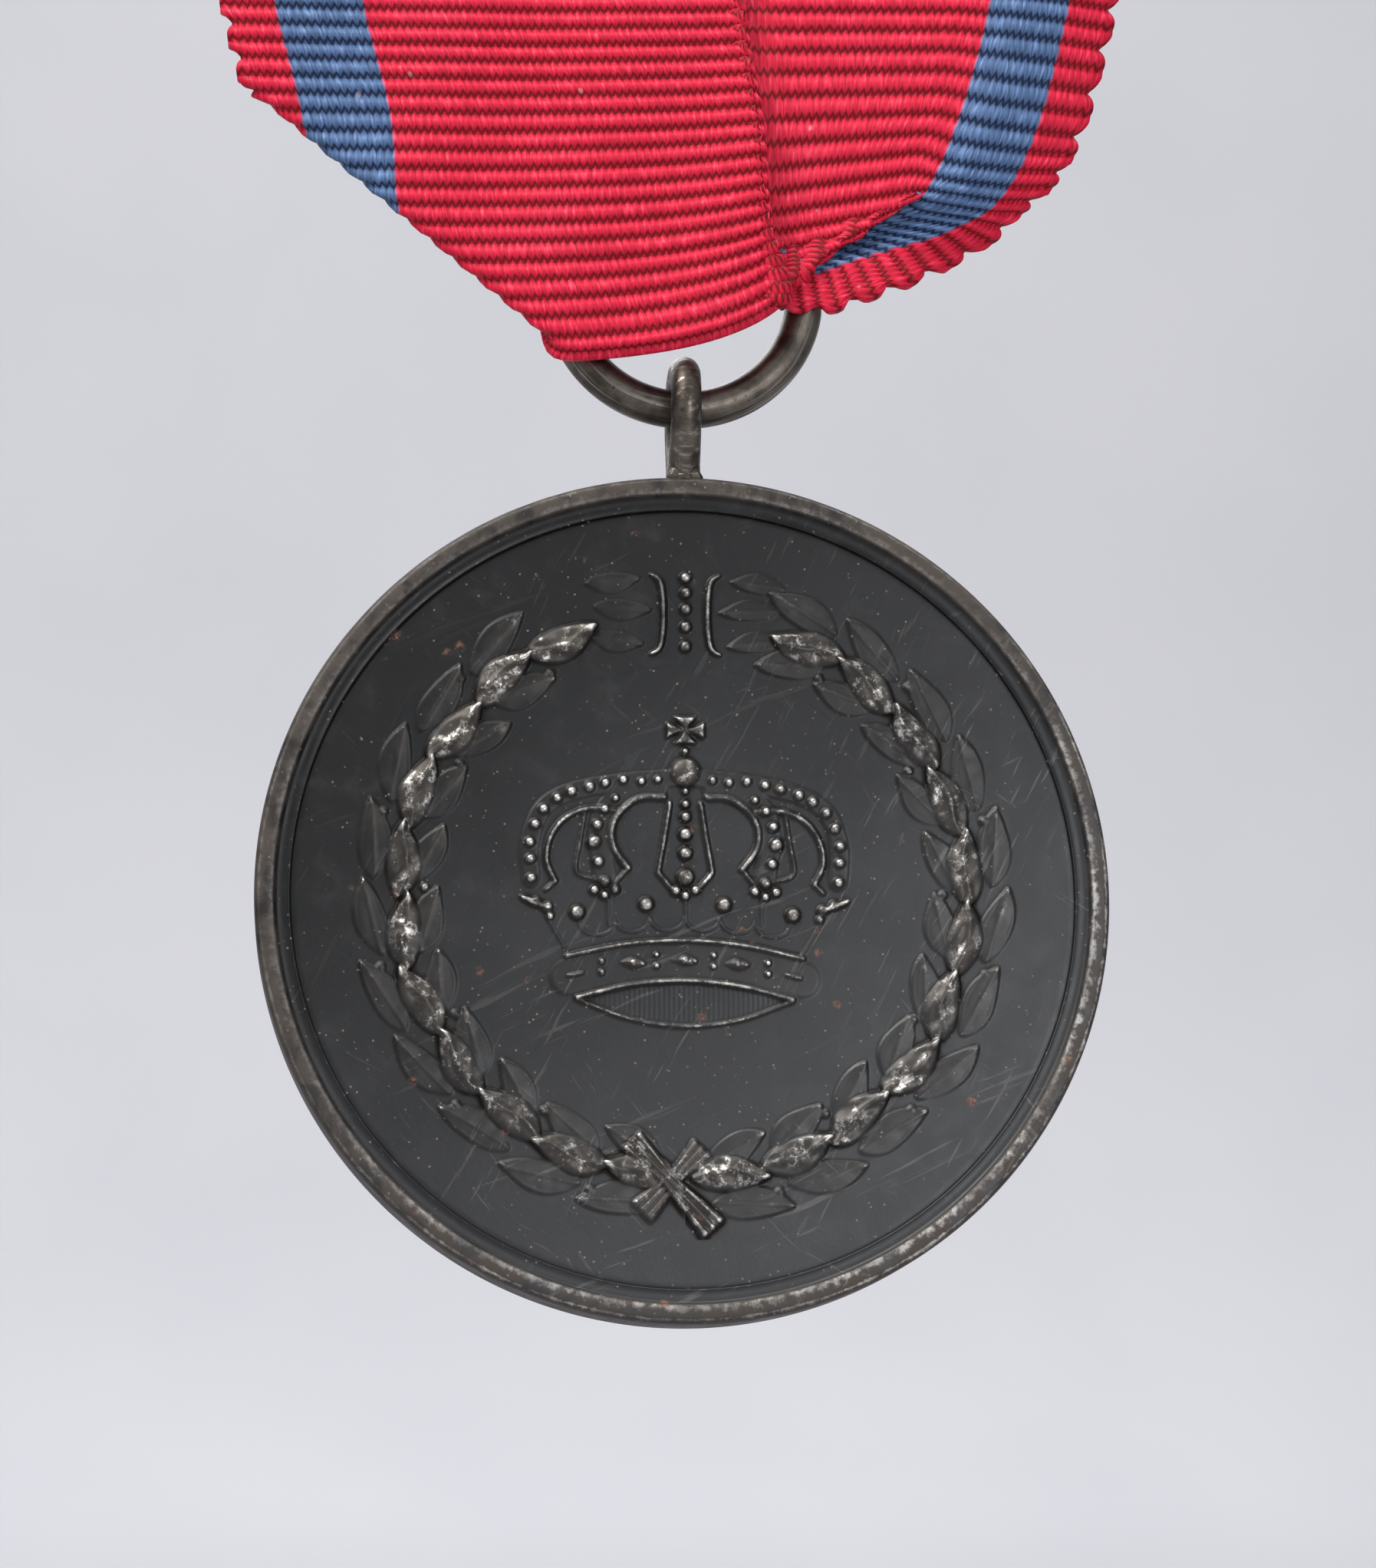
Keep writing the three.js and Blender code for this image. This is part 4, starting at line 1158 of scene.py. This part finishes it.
@once
def striped_silk():
    """Corded silk: floats over each rib, saw-toothed valleys between in painted shade, painted glints on the rib
    tops, and the striped warp.
    """
    silk = settings().silk
    f = Finish("striped_silk")
    weave = f.add("ShaderNodeUVMap", uv_map="weave").outputs[0]
    parts = f.add("ShaderNodeSeparateXYZ", {0: weave}).outputs
    u, v = f.times(parts[0], 100.0), f.times(f.minus(parts[1], 0.5), 100.0)
    flat = f.add("ShaderNodeCombineXYZ", {0: f.times(u, MM), 1: f.times(v, MM)}).outputs[0]
    wander = f.times(f.minus(f.noise(3.5, 2, where=flat), 0.5), 0.12)
    thread = f.math("PINGPONG", f.plus(u, wander), silk.thread / 2)
    thread = f.math("DIVIDE", thread, silk.thread / 2)
    jitter = f.times(f.minus(f.noise(0.3, 2, where=flat), 0.5), 0.16)
    phase = f.plus(f.math("DIVIDE", v, silk.rib), f.plus(f.times(thread, 0.26), jitter))
    crest = f.math("ABSOLUTE", f.math("SINE", f.times(phase, math.pi)))
    blurred_u = f.plus(u, jitter)

    def past(at):
        """1 beyond a place across the ribbon."""
        return f.step(blurred_u, at - 0.07, at + 0.07)

    stripe_start, stripe_end = 2.0, 5.5  # in from each selvedge
    band = f.minus(past(stripe_start), past(stripe_end))
    right_band = f.minus(past(RIBBON_WIDTH - stripe_end), past(RIBBON_WIDTH - stripe_start))
    band = f.plus(band, right_band, clamp=True)
    strand = f.noise(0.5, 3, 0.6, where=f.place(scale=(3.2, 0.4, 1), start=flat))
    red = f.mix(f.step(strand, 0.35, 0.7), [c * 0.82 for c in silk.red], [min(1, c * 1.25) for c in silk.red])
    red = f.mix(f.step(f.noise(5.0, 3, where=flat), 0.5, 0.75, 0, 0.25), red, (0.64, 0.03, 0.08))
    blue = f.mix(f.step(strand, 0.35, 0.7), [c * 0.75 for c in silk.blue], [c * 1.35 for c in silk.blue])
    # Painted shade: between the ribs and between the floats the colour gives way to the darkened silk colours,
    # standing in for the shade there.
    top, painted_rib_shade = f.mix(band, red, blue), f.mix(band, list(silk.red_painted_shade), list(silk.blue_painted_shade))
    tone = f.mix(f.step(crest, 0.08, 0.66), painted_rib_shade, top)
    tone = f.mix(f.times(f.step(thread, 0.3, 0.0), 0.4), tone, painted_rib_shade)
    # Painted highlight: the tops of the ribs are brightened in colour, standing in for the glint of the floats.
    painted_glint = f.times(f.step(crest, 0.72, 0.99), f.step(strand, 0.52, 0.72))
    tone = f.mix(f.times(painted_glint, 0.5), tone, f.mix(band, (0.83, 0.11, 0.19), (0.26, 0.36, 0.54)))
    lint = f.times(f.step(f.specks(2.3, where=flat), 0.06, 0.03), 0.35)
    tone = f.mix(lint, tone, (0.6, 0.5, 0.5))
    bump = f.plus(f.times(crest, 0.8), f.plus(f.times(thread, 0.35), strand))
    rough = f.step(strand, 0.3, 0.75, 0.62, 0.42)
    return f.finish({"Base Color": tone, "Roughness": rough, "Sheen Weight": 0.04, "Sheen Roughness": 0.4,
                     "Sheen Tint": (1.0, 0.7, 0.74), "Specular IOR Level": 0.2}, bump, 0.06, 0.9)


def plain_metal(name, light, dark, stain, rough):
    """Rolled or drawn sheet metal with its grain and its stains."""
    f = Finish(name)
    along = f.place(scale=(0.05, 1, 1))
    grain, cloud, spot = f.noise(0.5, 4, 0.6, where=along), f.noise(3.2, 4, 0.6), f.noise(0.55, 4, 0.7)
    tone = f.mix(f.step(cloud, 0.32, 0.68), light, dark)
    tone = f.mix(f.step(grain, 0.5, 0.75, 0, 0.35), tone, [min(1, c * 1.3) for c in light])
    tone = f.mix(f.step(spot, 0.6, 0.72, 0, 0.8), tone, stain)
    roughness = f.plus(f.step(grain, 0.25, 0.75, rough - 0.06, rough + 0.08), f.step(spot, 0.6, 0.72, 0, 0.2))
    return f.finish({"Base Color": tone, "Metallic": 0.95, "Roughness": roughness},
                    f.plus(grain, f.times(spot, 0.5)), 0.02, 0.5)


class MEDAL_OT_mount_finish(bpy.types.Operator):
    """Give the plate, the pin bar, its rivets and the pin their finishes"""

    bl_idname = "medal.mount_finish"
    bl_label = "Mount and Pin Finishes"

    def execute(self, context):
        tin = plain_metal("tinned_sheet", (0.52, 0.51, 0.49), (0.36, 0.35, 0.33), (0.16, 0.13, 0.10), 0.34)
        brass = plain_metal("aged_brass", (0.52, 0.36, 0.15), (0.34, 0.22, 0.085), (0.10, 0.07, 0.035), 0.33)
        steel = plain_metal("drawn_steel", (0.50, 0.49, 0.47), (0.34, 0.33, 0.32), (0.16, 0.085, 0.045), 0.28)
        metals = {"mount_plate": tin, "pin_stem": steel}
        for node in ("mount_plate", "pin_bar", "rivet_left", "rivet_right", "pivot_washer", "catch_hook",
                     "pin_pivot", "pin_stem"):
            shown = frame["nodes"][node]
            for held in shown.material_slots:
                held.material = metals.get(node, brass)
            round_off = shown.modifiers.new("eased_edges", "BEVEL")
            round_off.width, round_off.segments, round_off.limit_method = 0.08 * MM, 2, "ANGLE"
            round_off.angle_limit = math.radians(50)
        return {"FINISHED"}


# ---- The stage ----------------------------------------------------------------------------


def soft_light(name, place, aim, size, watts, tint=(1, 1, 1), spread=180):
    """A softbox at place, turned to aim, fanning out over spread degrees."""
    lamp = bpy.data.lights.new(name, "AREA")
    lamp.shape, lamp.size, lamp.size_y = "RECTANGLE", size[0], size[1]
    lamp.energy, lamp.color, lamp.spread = watts, tint, math.radians(spread)
    holder = bpy.data.objects.new(name, lamp)
    holder.location = place
    holder.rotation_euler = (Vector(aim) - Vector(place)).to_track_quat("-Z", "Y").to_euler()
    bpy.context.scene.collection.objects.link(holder)


def backdrop():
    """A floor that curves up into a wall, well behind the medal."""
    low = (DISC_LOW.z - 45) * MM
    side, bend, radius, wall = 5.0, 0.5, 0.25, 2.4
    section = [(-side, low), (bend, low)]
    section += [(bend + radius * math.sin(a), low + radius - radius * math.cos(a))
                for a in np.linspace(0.1, math.pi / 2, 12)]
    section += [(bend + radius, low + wall)]
    bm = bmesh.new()
    line = add_outline(bm, [(-side, y, z) for y, z in section])
    bmesh.ops.extrude_edge_only(bm, edges=[g for g in line if isinstance(g, bmesh.types.BMEdge)])
    bm.verts.ensure_lookup_table()
    bmesh.ops.translate(bm, vec=(2 * side, 0, 0), verts=bm.verts[len(section):])
    mesh = bpy.data.meshes.new("backdrop")
    bm.to_mesh(mesh)
    bm.free()
    made = bpy.data.objects.new("backdrop", mesh)
    bpy.context.scene.collection.objects.link(made)
    for face in mesh.polygons:
        face.use_smooth = True
    paper = Finish("backdrop_paper")
    shade = paper.mix(paper.step(paper.noise(60, 2), 0.3, 0.7), (0.60, 0.597, 0.63), (0.62, 0.615, 0.645))
    height = paper.add("ShaderNodeSeparateXYZ", {0: paper.object}).outputs[2]
    shade = paper.mix(paper.step(height, low + 0.06, low, 0, 1), shade, (0.36, 0.358, 0.375))
    made.data.materials.append(paper.finish({"Base Color": shade, "Roughness": 0.9, "Specular IOR Level": 0.1}))


class MEDAL_OT_stage(bpy.types.Operator):
    """Set up the backdrop, the lights and the camera"""

    bl_idname = "medal.stage"
    bl_label = "Stage"

    def execute(self, context):
        backdrop()
        middle = Vector((0, -0.00175, -0.050))
        soft_light("key", (-0.26, -0.26, 0.34), middle, (0.26, 0.26), 2.9, (1.0, 0.985, 0.97))
        soft_light("fill", (0.17, -0.40, -0.06), middle, (0.16, 0.16), 0.12, (0.97, 0.98, 1.0), 70)
        soft_light("crest", (0.05, -0.10, 0.42), middle, (0.34, 0.22), 0.8)
        soft_light("behind", (-0.15, 0.38, 0.30), middle, (0.4, 0.3), 1.2)
        soft_light("wall_wash", (0.0, 0.05, 0.75), (0, 0.75, 0.1), (1.2, 0.5), 5.0)
        world = bpy.data.worlds.new("studio")
        world.use_nodes = True
        world.node_tree.nodes["Background"].inputs[0].default_value = (0.80, 0.82, 0.87, 1)
        world.node_tree.nodes["Background"].inputs[1].default_value = 0.55
        context.scene.world = world
        aim = Vector((0.2, SWING_AXIS.y, DISC_CENTRE.z + 4.5)) * MM
        turn, lift, reach = math.radians(-5), math.radians(-11), 0.1693
        away = Vector((math.sin(turn) * math.cos(lift), -math.cos(turn) * math.cos(lift), math.sin(lift)))
        lens = bpy.data.cameras.new("camera")
        lens.lens, lens.sensor_width, lens.clip_start = 100, 36, 0.01
        camera = bpy.data.objects.new("camera", lens)
        camera.location = aim + away * reach
        camera.rotation_euler = (-away).to_track_quat("-Z", "Y").to_euler()
        context.scene.collection.objects.link(camera)
        context.scene.camera = camera
        context.scene.view_settings.view_transform = "Standard"
        return {"FINISHED"}


class MEDAL_PT_builder(bpy.types.Panel):
    """Everything that builds the medal, in order"""

    bl_idname = "MEDAL_PT_builder"
    bl_label = "Service Medal"
    bl_space_type = "VIEW_3D"
    bl_region_type = "UI"
    bl_category = "Medal"

    def draw(self, context):
        for piece in OPERATORS:
            self.layout.operator(piece.bl_idname)
        for group in (context.scene.medal.metal, context.scene.medal.silk):
            box = self.layout.box()
            for name in group.__annotations__:
                box.prop(group, name)


OPERATORS = (MEDAL_OT_stage, MEDAL_OT_disc, MEDAL_OT_hangings, MEDAL_OT_ribbon, MEDAL_OT_mount_finish)
CLASSES = (StruckMetal, WovenSilk, MedalSettings, *OPERATORS, MEDAL_PT_builder)


def register():
    for kind in CLASSES:
        bpy.utils.register_class(kind)
    bpy.types.Scene.medal = bpy.props.PointerProperty(type=MedalSettings)


def unregister():
    del bpy.types.Scene.medal
    for kind in reversed(CLASSES):
        bpy.utils.unregister_class(kind)


def main():
    register()
    bpy.ops.medal.stage()
    bpy.ops.medal.disc()
    bpy.ops.medal.hangings()
    bpy.ops.medal.ribbon()
    bpy.ops.medal.mount_finish()
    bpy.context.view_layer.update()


if __name__ == "__main__":
    main()
